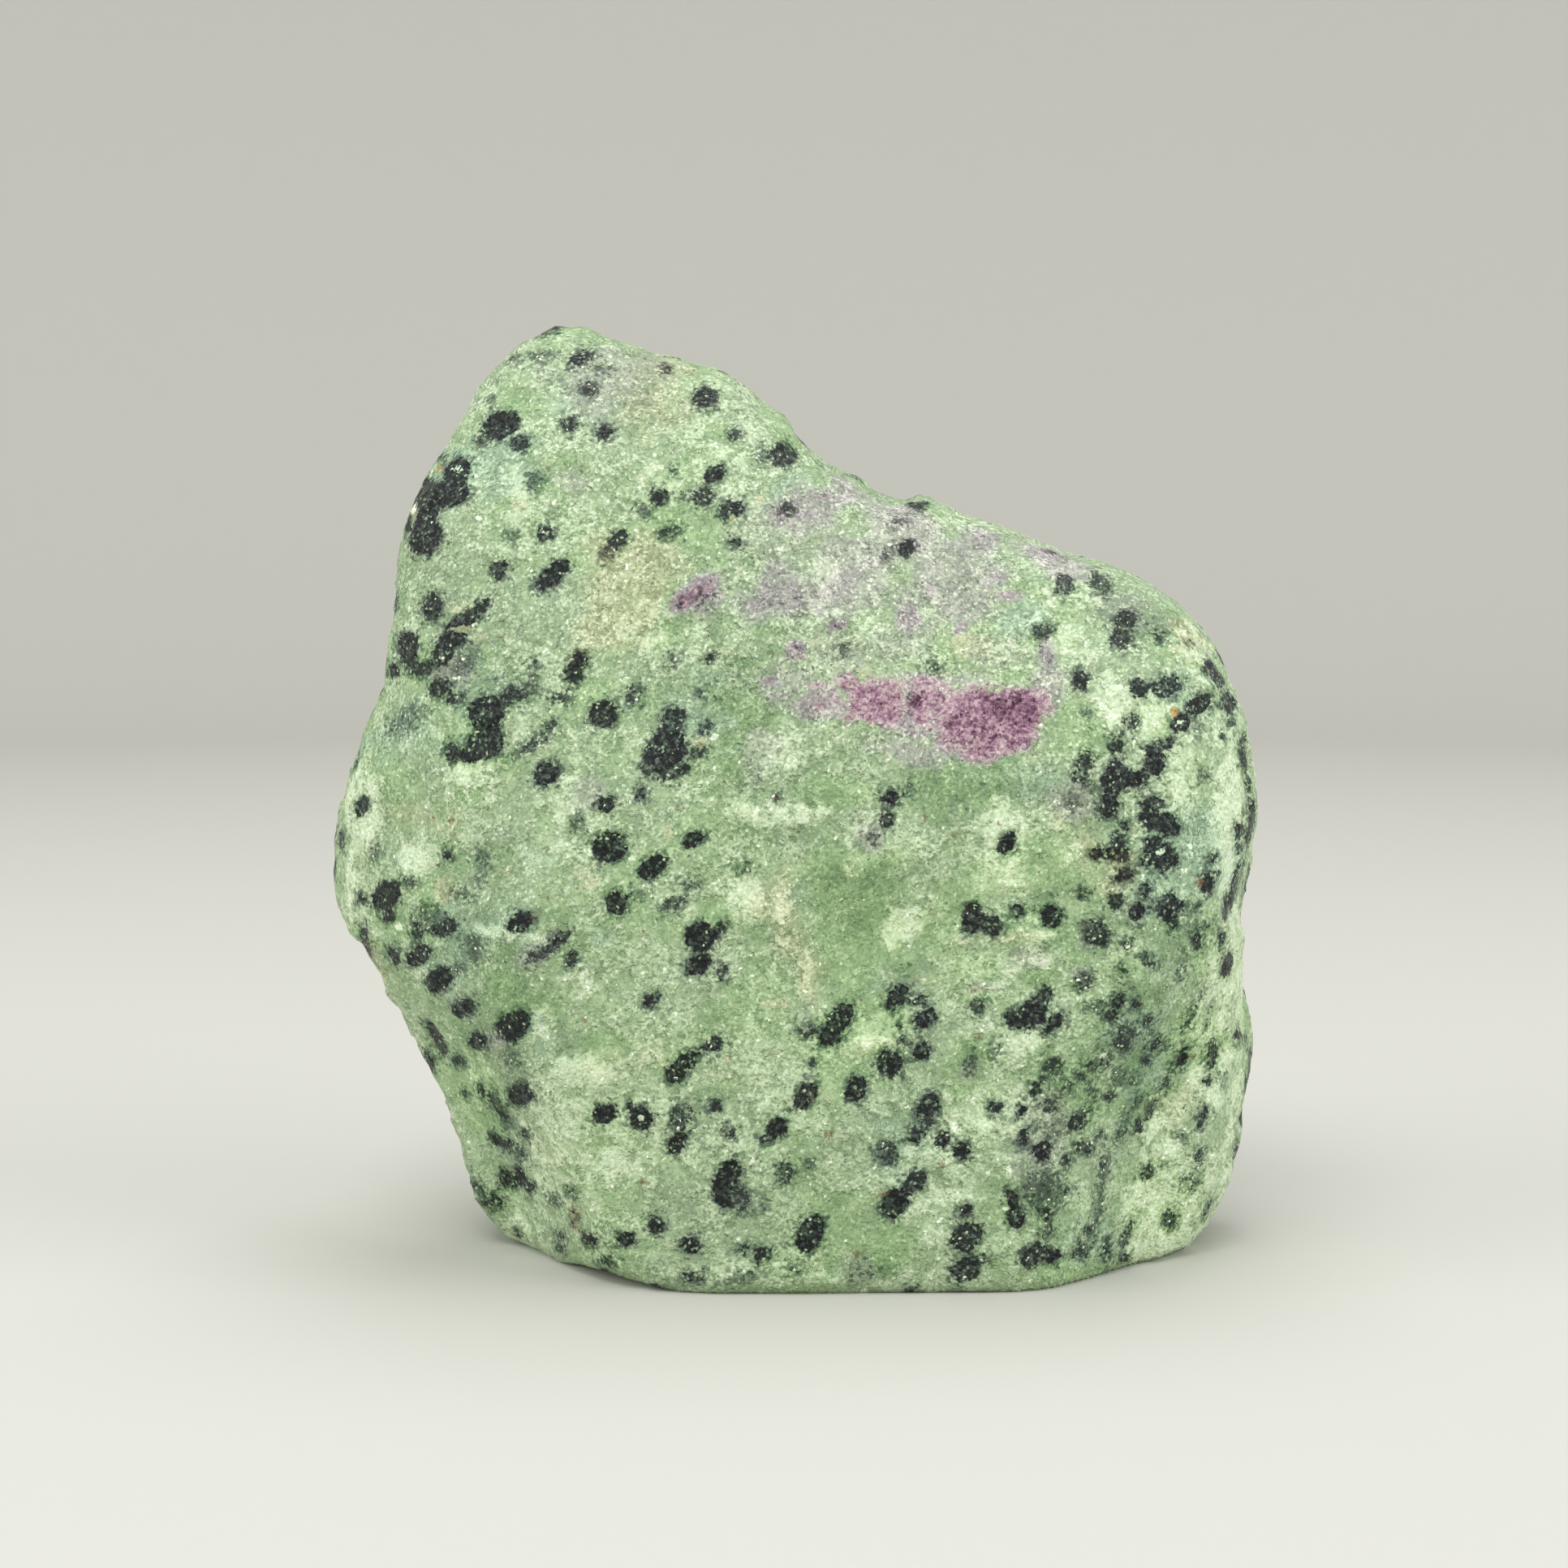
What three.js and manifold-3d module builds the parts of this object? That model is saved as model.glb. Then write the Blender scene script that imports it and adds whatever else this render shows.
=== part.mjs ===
// A free-standing rough stone of ruby in zoisite: one solid with a flat sawn base, a
// tall peak on the left and a long shoulder that slopes down to the right.
// Millimetres, +Z up. The broad front face looks along -Y, and the origin is the
// middle of the bounding box, on the surface that the stone stands on.

import Module from "manifold-3d";
import * as THREE from "three";
import { ImprovedNoise } from "three/addons/math/ImprovedNoise.js";
import { mergeVertices } from "three/addons/utils/BufferGeometryUtils.js";

// The point inside the stone that every surface distance is measured from.
const CORE = new THREE.Vector3(0, 0, 34);

// The rounded body before it is broken: how deep each half is, and how boxy a cut
// through it is, where 2 is an ellipse and higher is squarer.
const FRONT = { depth: 26.5, squareness: 3.1 };
const BACK = { depth: 26, squareness: 2.3 };

// The rounding where two broken faces meet.
const FACE_ROUNDING = 6;

// The wall curls in over this band above the sawn base, towards a plane below it.
const BASE_ROUNDING = 4;
const BASE_DROP = 0.8;

// Steps along each edge of the icosphere, which set the number of triangles, and how
// far its directions are spread to suit the stone's width, depth and height.
const DETAIL = 19;
const SPREAD = new THREE.Vector3(40, 27, 40);

// The outline seen from the front, as [x, z], clockwise from the peak. It runs on
// far below z = 0, where the base cuts it off.
const OUTLINE = [
  [-20.4, 80.6],
  [-17.4, 79.8],
  [-14.1, 77.9],
  [-10.0, 76.8],
  [-6.2, 75.7],
  [-2.9, 73.2],
  [0.1, 70.6],
  [3.0, 68.0],
  [6.4, 66.3],
  [9.0, 65.0],
  [10.9, 65.2],
  [13.9, 63.9],
  [18.8, 62.6],
  [22.6, 60.8],
  [28.7, 58.4],
  [31.8, 56.4],
  [35.0, 53.6],
  [37.4, 49.4],
  [38.8, 44.4],
  [39.6, 38.0],
  [39.3, 32.4],
  [38.8, 26.8],
  [39.2, 21.2],
  [40.0, 15.8],
  [39.4, 11.4],
  [38.7, 7.2],
  [37.6, 3.8],
  [35.8, 0.4],
  [34.0, -4.0],
  [32.0, -14.0],
  [30.0, -32.0],
  [4.0, -34.0],
  [-19.0, -32.0],
  [-21.0, -14.0],
  [-23.8, -4.0],
  [-25.6, -0.6],
  [-27.3, 2.2],
  [-28.6, 5.6],
  [-29.6, 9.4],
  [-32.4, 15.2],
  [-35.2, 21.6],
  [-38.6, 26.8],
  [-40.0, 32.4],
  [-39.4, 38.2],
  [-37.6, 44.8],
  [-35.1, 49.8],
  [-34.2, 54.8],
  [-33.8, 60.8],
  [-32.4, 65.6],
  [-30.5, 69.3],
  [-28.4, 73.0],
  [-25.5, 77.4],
  [-23.4, 79.7],
];

// The outline is smoothed over this much of a turn towards the front and back faces,
// so that its notches stay near the rim.
const NOTCH_SMOOTHING = THREE.MathUtils.degToRad(14);
const NOTCH_FADE = [0.08, 0.6];

// Broken faces, each a plane with the way it looks and its distance from CORE.
const FACES = [
  { name: "front", looks: [0.03, -1.0, 0.0], distance: 23.8 },
  { name: "upper front", looks: [-0.06, -1.0, 0.3], distance: 26.4 },
  { name: "front shoulder", looks: [0.22, -1.0, 0.62], distance: 30.0 },
  { name: "front left", looks: [-0.72, -1.0, 0.04], distance: 34.0 },
  { name: "left heel", looks: [-0.8, -0.9, -0.3], distance: 33.2 },
  { name: "back", looks: [0.16, 1.0, 0.02], distance: 20.8 },
  { name: "upper back", looks: [-0.3, 1.0, 0.6], distance: 24.4 },
  { name: "back crest", looks: [0.5, 0.8, 1.0], distance: 31.5 },
  { name: "back right", looks: [1.0, 0.9, -0.1], distance: 36.0 },
  { name: "back left", looks: [-1.0, 0.8, -0.25], distance: 33.0 },
  { name: "back foot", looks: [-0.2, 1.0, -0.5], distance: 30.5 },
];

// How far back the stone's middle leans at a few heights, as [z, y].
const LEAN = [
  [0, 0],
  [30, -0.6],
  [56, 0.4],
  [82, 4.0],
];

// Creases where the front steps back to a lobe at its side. A crease runs along its
// points [x, z], and fades out between the heights in fade. All of it counts where the
// front is deeper than CREASE_DEPTH, and none on the plane of the outline.
const CREASE_DEPTH = 12;
const CREASES = [
  {
    name: "right crease",
    points: [
      [37.2, 30.0],
      [34.0, 21.0],
      [30.8, 15.5],
      [29.2, 9.5],
      [28.4, 3.0],
      [28.0, -12.0],
    ],
    outward: 1,
    stepBack: 6.4,
    approach: 10.0,
    bottom: 1.0,
    lobeWidth: 8.0,
    lobeReturn: 0.4,
    fade: [16, 34],
  },
  {
    name: "left crease",
    points: [
      [-35.4, 24.0],
      [-32.0, 18.7],
      [-28.4, 14.5],
      [-25.3, 10.0],
      [-23.3, 5.5],
      [-21.8, -12.0],
    ],
    outward: -1,
    stepBack: 4.4,
    approach: 7.0,
    bottom: 1.0,
    lobeWidth: 5.0,
    lobeReturn: 0.6,
    fade: [18, 27],
  },
];

// Shallow hollows, as depth in millimetres into the surface, and swellings below 0.
const DENTS = [
  { name: "thumb mark", at: [5.4, -24, 26], radius: 7, depth: 0.8 },
  { name: "scar beside it", at: [0.4, -24, 30], radius: 4, depth: -0.4 },
  { name: "hollow under the peak", at: [-12, -20, 56], radius: 10, depth: 0.9 },
  { name: "hollow over the crystals", at: [16, -18, 54], radius: 10, depth: 0.8 },
  { name: "brow", at: [-20, -22, 44], radius: 10, depth: -0.8 },
  { name: "cheek", at: [-20, -22, 28], radius: 12, depth: -0.7 },
  { name: "chin", at: [8, -24, 8], radius: 13, depth: -0.8 },
  { name: "shoulder", at: [30, -16, 50], radius: 9, depth: -0.7 },
  { name: "back scar", at: [10, 20, 40], radius: 14, depth: 2.8 },
  { name: "back ledge", at: [-16, 20, 18], radius: 12, depth: 2.2 },
  { name: "back knob", at: [22, 17, 18], radius: 10, depth: -1.6 },
  { name: "back ridge", at: [-14, 17, 50], radius: 9, depth: -1.4 },
  { name: "right flank", at: [40, 2, 26], radius: 8, depth: 0.7 },
];

// Waviness of the weathered surface: wavelength, height and where its noise starts.
// Relief dies out over the lowest few millimetres, so that the sawn edge stays plain.
const WAVES = [
  { wavelength: 19, height: 0.9, start: 0 },
  { wavelength: 8, height: 0.45, start: 7.3 },
];
const CALM_FOOT = 6;

const TURN = 2 * Math.PI;
const RIM_SAMPLES = 1440;
const CURVE_STEPS_PER_POINT = 24;
const GRAZING = 0.05;
const GROUND_SIZE = 200;
const noise = new ImprovedNoise();

function smoothstep(from, to, value) {
  return THREE.MathUtils.smoothstep(value, from, to);
}

// The lesser of two distances, blended over a band so that the edge is rounded.
function roundedMinimum(a, b, band) {
  const overlap = Math.max(band - Math.abs(a - b), 0) / band;
  return Math.min(a, b) - (overlap * overlap * band) / 4;
}

// The outline as its distance from CORE at evenly spaced angles about the Y axis.
function outlineTable() {
  const points = OUTLINE.map(([x, z]) => new THREE.Vector3(x, 0, z));
  const curve = new THREE.CatmullRomCurve3(points, true, "centripetal");
  const rim = curve.getPoints(OUTLINE.length * CURVE_STEPS_PER_POINT).map((point) => {
    const [x, z] = [point.x - CORE.x, point.z - CORE.z];
    return { angle: (Math.atan2(z, x) + TURN) % TURN, radius: Math.hypot(x, z) };
  });
  rim.sort((a, b) => a.angle - b.angle);
  const table = [];
  let next = 0;
  for (let i = 0; i < RIM_SAMPLES; i += 1) {
    const angle = (i / RIM_SAMPLES) * TURN;
    while (next < rim.length && rim[next].angle < angle) next += 1;
    const before = rim[(next + rim.length - 1) % rim.length];
    const after = rim[next % rim.length];
    const gap = (after.angle - before.angle + TURN) % TURN;
    const share = gap > 0 ? ((angle - before.angle + TURN) % TURN) / gap : 0;
    table.push(THREE.MathUtils.lerp(before.radius, after.radius, share));
  }
  return table;
}

// The same table with each value averaged over its neighbours.
function smoothedTable(table, spread) {
  const reach = Math.round((spread / TURN) * table.length);
  return table.map((_, i) => {
    let sum = 0;
    for (let j = -reach; j <= reach; j += 1) {
      sum += table[(i + j + table.length) % table.length];
    }
    return sum / (2 * reach + 1);
  });
}

const rimTable = outlineTable();
const smoothRimTable = smoothedTable(rimTable, NOTCH_SMOOTHING);

function lookUp(table, x, z) {
  const place = (((Math.atan2(z, x) + TURN) % TURN) / TURN) * table.length;
  const index = Math.floor(place) % table.length;
  const share = place - Math.floor(place);
  return THREE.MathUtils.lerp(table[index], table[(index + 1) % table.length], share);
}

// Distance from CORE to the rounded body in a direction, before it is broken.
function bodyDistance(direction) {
  const { x, y, z } = direction;
  const half = y < 0 ? FRONT : BACK;
  const towardFace = smoothstep(NOTCH_FADE[0], NOTCH_FADE[1], Math.abs(y));
  const notched = lookUp(rimTable, x, z);
  const radius = THREE.MathUtils.lerp(notched, lookUp(smoothRimTable, x, z), towardFace);
  const inPlane = (Math.hypot(x, z) / radius) ** half.squareness;
  const inDepth = (Math.abs(y) / half.depth) ** half.squareness;
  return (inPlane + inDepth) ** (-1 / half.squareness);
}

const faces = FACES.map(({ looks, distance }) => ({
  normal: new THREE.Vector3(...looks).normalize(),
  distance,
}));

// Distance from CORE to the surface with its broken faces and its curled-in foot.
function surfaceDistance(direction) {
  let distance = bodyDistance(direction);
  for (const face of faces) {
    const facing = direction.dot(face.normal);
    if (facing > GRAZING) {
      distance = roundedMinimum(distance, face.distance / facing, FACE_ROUNDING);
    }
  }
  if (direction.z < -GRAZING) {
    const toFoot = (CORE.z + BASE_DROP) / -direction.z;
    distance = roundedMinimum(distance, toFoot, BASE_ROUNDING);
  }
  return distance;
}

// How far (x, z) lies from a crease, positive on its outer side.
function acrossCrease(crease, x, z) {
  let nearest = Infinity;
  let signed = 0;
  for (let i = 1; i < crease.points.length; i += 1) {
    const [ax, az] = crease.points[i - 1];
    const [bx, bz] = crease.points[i];
    const [dx, dz] = [bx - ax, bz - az];
    const along = ((x - ax) * dx + (z - az) * dz) / (dx * dx + dz * dz);
    const share = THREE.MathUtils.clamp(along, 0, 1);
    const [ox, oz] = [x - ax - share * dx, z - az - share * dz];
    const gap = Math.hypot(ox, oz);
    if (gap < nearest) {
      nearest = gap;
      signed = Math.sign(dx * oz - dz * ox) * gap * crease.outward;
    }
  }
  return signed;
}

// How far the front steps back at (x, z) on account of the creases.
function creaseShift(x, z) {
  let shift = 0;
  for (const crease of CREASES) {
    const across = acrossCrease(crease, x, z);
    const rise = smoothstep(-crease.approach, crease.bottom, across);
    const swell = 1 - crease.lobeReturn * smoothstep(crease.bottom, crease.lobeWidth, across);
    const fade = 1 - smoothstep(crease.fade[0], crease.fade[1], z);
    shift += crease.stepBack * rise * swell * fade;
  }
  return shift;
}

// How far back the stone leans at a height.
function lean(z) {
  for (let i = 1; i < LEAN.length; i += 1) {
    const [below, above] = [LEAN[i - 1], LEAN[i]];
    if (z < above[0]) {
      return THREE.MathUtils.lerp(below[1], above[1], smoothstep(below[0], above[0], z));
    }
  }
  return LEAN[LEAN.length - 1][1];
}

// How far a surface point moves inwards for the dents and the waviness.
function relief(point) {
  let inward = 0;
  for (const { at, radius, depth } of DENTS) {
    const gap = Math.hypot(point.x - at[0], point.y - at[1], point.z - at[2]) / radius;
    inward += depth * Math.exp(-2 * gap * gap);
  }
  for (const { wavelength, height, start } of WAVES) {
    const place = point.clone().divideScalar(wavelength).addScalar(start);
    inward += height * noise.noise(place.x, place.y, place.z);
  }
  return inward;
}

// The surface point in a direction from CORE.
function surfacePoint(direction) {
  const point = direction.clone().multiplyScalar(surfaceDistance(direction)).add(CORE);
  point.addScaledVector(direction, -relief(point) * smoothstep(0, CALM_FOOT, point.z));
  const frontShare = smoothstep(0, CREASE_DEPTH, -point.y);
  point.y += creaseShift(point.x, point.z) * frontShare + lean(point.z);
  return point;
}

// The whole stone as a closed mesh, its foot still running on below z = 0.
function unsawnStone() {
  const ball = new THREE.IcosahedronGeometry(1, DETAIL);
  ball.deleteAttribute("normal");
  ball.deleteAttribute("uv");
  const geometry = mergeVertices(ball, 1e-5);
  const position = geometry.getAttribute("position");
  const direction = new THREE.Vector3();
  for (let i = 0; i < position.count; i += 1) {
    direction.fromBufferAttribute(position, i).multiply(SPREAD).normalize();
    const point = surfacePoint(direction);
    position.setXYZ(i, point.x, point.y, point.z);
  }
  return geometry;
}

const wasm = await Module();
wasm.setup();

function toSolid(geometry) {
  return new wasm.Manifold(
    new wasm.Mesh({
      numProp: 3,
      vertProperties: new Float32Array(geometry.getAttribute("position").array),
      triVerts: new Uint32Array(geometry.getIndex().array),
    }),
  );
}

function toGeometry(solid) {
  const mesh = solid.getMesh();
  const geometry = new THREE.BufferGeometry();
  geometry.setAttribute("position", new THREE.BufferAttribute(mesh.vertProperties, 3));
  geometry.setIndex(new THREE.BufferAttribute(mesh.triVerts, 1));
  return geometry;
}

// A block that fills all the space below the base plane.
function groundBlock() {
  const block = new THREE.BoxGeometry(GROUND_SIZE, GROUND_SIZE, GROUND_SIZE);
  block.translate(0, 0, -GROUND_SIZE / 2);
  block.deleteAttribute("normal");
  block.deleteAttribute("uv");
  return mergeVertices(block);
}

function stoneGeometry() {
  const sawn = toSolid(unsawnStone()).subtract(toSolid(groundBlock()));
  const geometry = toGeometry(sawn);
  geometry.computeBoundingBox();
  const middle = geometry.boundingBox.getCenter(new THREE.Vector3());
  geometry.translate(-middle.x, -middle.y, 0);
  geometry.computeVertexNormals();
  return geometry;
}

const stone = new THREE.Mesh(
  stoneGeometry(),
  new THREE.MeshStandardMaterial({ color: 0xa3bd8c, roughness: 0.62, metalness: 0 }),
);
stone.name = "stone";

const part = new THREE.Group();
part.add(stone);

export default part;
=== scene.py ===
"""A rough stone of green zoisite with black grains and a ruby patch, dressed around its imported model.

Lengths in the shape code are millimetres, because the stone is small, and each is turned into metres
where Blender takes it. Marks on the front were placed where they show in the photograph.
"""

import math
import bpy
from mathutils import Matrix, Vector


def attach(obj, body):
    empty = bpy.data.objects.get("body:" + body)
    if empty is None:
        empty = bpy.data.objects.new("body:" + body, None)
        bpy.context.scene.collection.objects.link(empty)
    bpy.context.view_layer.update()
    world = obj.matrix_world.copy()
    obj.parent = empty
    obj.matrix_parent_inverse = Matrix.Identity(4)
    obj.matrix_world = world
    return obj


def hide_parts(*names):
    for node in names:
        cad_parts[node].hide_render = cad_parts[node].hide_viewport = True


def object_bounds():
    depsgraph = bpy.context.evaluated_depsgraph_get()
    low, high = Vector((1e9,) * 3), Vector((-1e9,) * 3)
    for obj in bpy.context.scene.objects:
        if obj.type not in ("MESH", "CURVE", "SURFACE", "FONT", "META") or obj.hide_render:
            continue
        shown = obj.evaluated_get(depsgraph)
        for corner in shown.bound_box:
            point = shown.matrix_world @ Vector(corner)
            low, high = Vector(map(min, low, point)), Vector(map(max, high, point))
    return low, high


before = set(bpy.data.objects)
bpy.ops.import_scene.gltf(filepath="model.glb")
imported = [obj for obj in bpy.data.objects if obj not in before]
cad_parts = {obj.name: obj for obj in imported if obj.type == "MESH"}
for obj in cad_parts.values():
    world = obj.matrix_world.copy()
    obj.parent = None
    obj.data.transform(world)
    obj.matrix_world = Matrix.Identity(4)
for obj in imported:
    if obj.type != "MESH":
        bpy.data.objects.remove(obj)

from types import SimpleNamespace

import bmesh
import bpy
import numpy as np
from mathutils import Vector
from mathutils.bvhtree import BVHTree

CAD_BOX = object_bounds()
MM = 0.001

# The photograph and the camera that took it
PHOTO_SIDE = 1932
FOCAL_PIXELS = 3870
SENSOR = 36.0
CAMERA_AT = np.array([-1.1, -273.84, 64.0])
CAMERA_PITCH = math.radians(5.0)
LOOK = np.array([0.0, math.cos(CAMERA_PITCH), -math.sin(CAMERA_PITCH)])
CAMERA_UP = np.array([0.0, math.sin(CAMERA_PITCH), math.cos(CAMERA_PITCH)])
CAMERA_RIGHT = np.array([1.0, 0.0, 0.0])

# The mesh
VOXEL = 0.5
WELD = 0.001
SMOOTHING_ROUNDS = 12
SMOOTH_IN, SMOOTH_OUT = 0.5, -0.52

# The relief: swells by length and height, and broken facets by size and slope
RELIEF = [(5.2, 0.20), (2.6, 0.13), (1.3, 0.08)]
CHIPS = [(4.2, 0.06), (1.9, 0.08)]
CHIP_DRIFT_LENGTH, CHIP_DRIFT = 0.8, 0.3
PIT_SPACING, PIT_RADIUS, PIT_DEPTH = 3.0, 0.9, 0.22
# A pit's size and its flat floor, in parts of that radius and of its size
PIT_SMALLEST, PIT_SPREAD, PIT_FLOOR = 0.45, 0.75, 0.35
RELIEF_SEED, PIT_SEED = 11, 31
CHIP_SEED, CHIP_SEED_STEP = 201, 20

# The foot: calm near the ground, cut in at its edge, and lifted a little at the left front corner
CALM_FOOT = 2.2
UNDERCUT_HEIGHT, UNDERCUT = 1.0, 0.4
LIFTED_AT, LIFTED_REACH, LIFTED, LIFTED_FADE = np.array([-15.0, -15.5]), 8.0, 0.85, 5.0
LIFTED_WHOLE = 0.2
BASE_SKIN = 0.16

# The finish: tones from 0, black, to 1, white, and lengths in millimetres
GLASS_TONE, FROST_TONE, PALE_TONE = 0.68, 0.772, 0.89
GRAIN_SWELL = 0.02
SUGAR, CRUMB, SPECK = 0.21, 0.33, 1.15
DRIFT_LENGTH, CRUMB_DRIFT = 0.5, 0.22
FACET_TILT = 0.45
BUMP_DEPTH = 0.3
STONE_SPECULAR = 0.3
SMOOTHEST, ROUGHNESS_SPREAD = 0.26, 0.4
# The noises in the pattern, each with its length, detail and roughness
NOISES = {
    "broad": (11.0, 1.0), "hue": (6.5, 2.0, 0.5), "patch": (3.4, 3.0, 0.6), "soft": (1.9, 1.0),
    "fleck": (1.2, 3.0, 0.7), "fine": (0.4, 1.0, 0.7),
}

# How dark a grain is
BLACK, DARK, DULL, FAINT = 1.0, 0.82, 0.58, 0.34

# Each mark on the front gives across, down, wide and high in the photograph's pixels. A mark that leans
# ends with how far: above 0 it rises to the right, below 0 it falls.
BLACK_GRAINS = [
    (718, 441, 30, 16, 0.5), (870, 490, 29, 24), (618, 524, 42, 34, 0.2), (743, 533, 20, 15),
    (881, 583, 27, 20, 0.3), (901, 628, 28, 24), (563, 583, 30, 36, 0.3), (550, 608, 58, 34, 0.3),
    (517, 632, 50, 46, 0.4), (521, 606, 30, 36, 0.4), (525, 663, 36, 42, 0.2), (680, 709, 40, 38, 0.75),
    (566, 772, 36, 30, 0.6), (556, 789, 36, 22, 0.4), (503, 797, 24, 38, 0.1), (485, 826, 10, 16),
    (600, 877, 44, 38, 0.1), (598, 916, 44, 42, 0.2), (577, 930, 26, 18, 0.2), (557, 926, 14, 22),
    (673, 954, 30, 26, 0.2), (714, 814, 22, 20), (706, 832, 20, 22), (743, 880, 32, 34),
    (820, 925, 50, 50, 0.2), (1131, 620, 22, 12), (1117, 675, 19, 17, 0.2), (1098, 984, 20, 14, 0.2),
    (1477, 868, 30, 24, 0.5), (1455, 891, 22, 20, 0.2), (1423, 941, 24, 28), (1403, 960, 22, 18),
    (1375, 945, 20, 16), (1370, 965, 30, 28), (1388, 960, 24, 20), (1366, 994, 24, 28),
    (1418, 1009, 24, 26), (1437, 1016, 32, 26, -0.2), (476, 1103, 34, 32, 0.3), (516, 1178, 28, 24, 0.5),
    (540, 1208, 34, 30, 0.4), (570, 1243, 30, 22, 0.4), (539, 1279, 22, 40, -0.88), (589, 1283, 20, 20),
    (633, 1264, 40, 36, 0.3), (567, 1307, 20, 10, -0.5), (641, 1136, 30, 26, 0.4),
    (751, 1045, 42, 36, 0.1), (804, 1068, 34, 28, 0.5), (855, 1034, 24, 20, 0.5), (760, 1113, 24, 26),
    (864, 1155, 38, 36), (862, 1188, 32, 26, 0.4), (1036, 1252, 32, 28, 0.3), (1023, 1277, 26, 22, 0.2),
    (1240, 1039, 22, 25, 0.4), (1199, 1132, 27, 36, 0.1), (1295, 1130, 24, 24), (1105, 1229, 27, 30, 0.5),
    (1140, 1256, 28, 24, 0.4), (1136, 1295, 20, 20), (1096, 1311, 31, 31), (1250, 1256, 22, 22),
    (1271, 1249, 28, 36, 0.1), (1301, 1258, 20, 19, 0.4), (1373, 1051, 16, 18), (1353, 1052, 18, 14, 0.2),
    (1420, 1040, 20, 16), (1413, 1059, 13, 18), (1432, 1055, 26, 30), (1444, 1057, 14, 18),
    (1487, 1088, 13, 20, 0.2), (1384, 1078, 20, 14, 0.2), (1411, 1097, 15, 15), (1401, 1124, 16, 22, 0.2),
    (1440, 1118, 34, 22), (1443, 1135, 14, 20), (1441, 1108, 12, 14), (1513, 1189, 16, 26, 0.5),
    (1378, 1234, 14, 17, 0.5), (1457, 1303, 11, 22, 0.5), (643, 1348, 32, 26, 0.2), (623, 1453, 12, 18),
    (641, 1449, 20, 24, 0.1), (848, 1306, 20, 22, 0.3), (835, 1320, 24, 30, 0.4),
    (745, 1373, 30, 24, 0.4), (790, 1378, 28, 28), (835, 1408, 22, 28, 0.4), (957, 1390, 26, 26, 0.4),
    (993, 1350, 25, 32, 0.4), (894, 1463, 30, 48, 0.1), (901, 1446, 24, 30), (727, 1528, 16, 12, -0.4),
    (771, 1527, 20, 18), (808, 1510, 19, 22), (851, 1534, 22, 18), (999, 1520, 34, 46, 0.4),
    (1055, 1342, 24, 30, 0.2), (1143, 1365, 26, 34, 0.3), (1162, 1403, 18, 20, 0.4),
    (1186, 1418, 20, 21, 0.3), (1259, 1369, 11, 12), (1284, 1418, 21, 23, 0.1), (1102, 1483, 31, 36, 0.3),
    (1248, 1480, 14, 26, -0.3), (1252, 1500, 20, 26), (1287, 1494, 13, 13), (1297, 1547, 20, 18),
]
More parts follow.
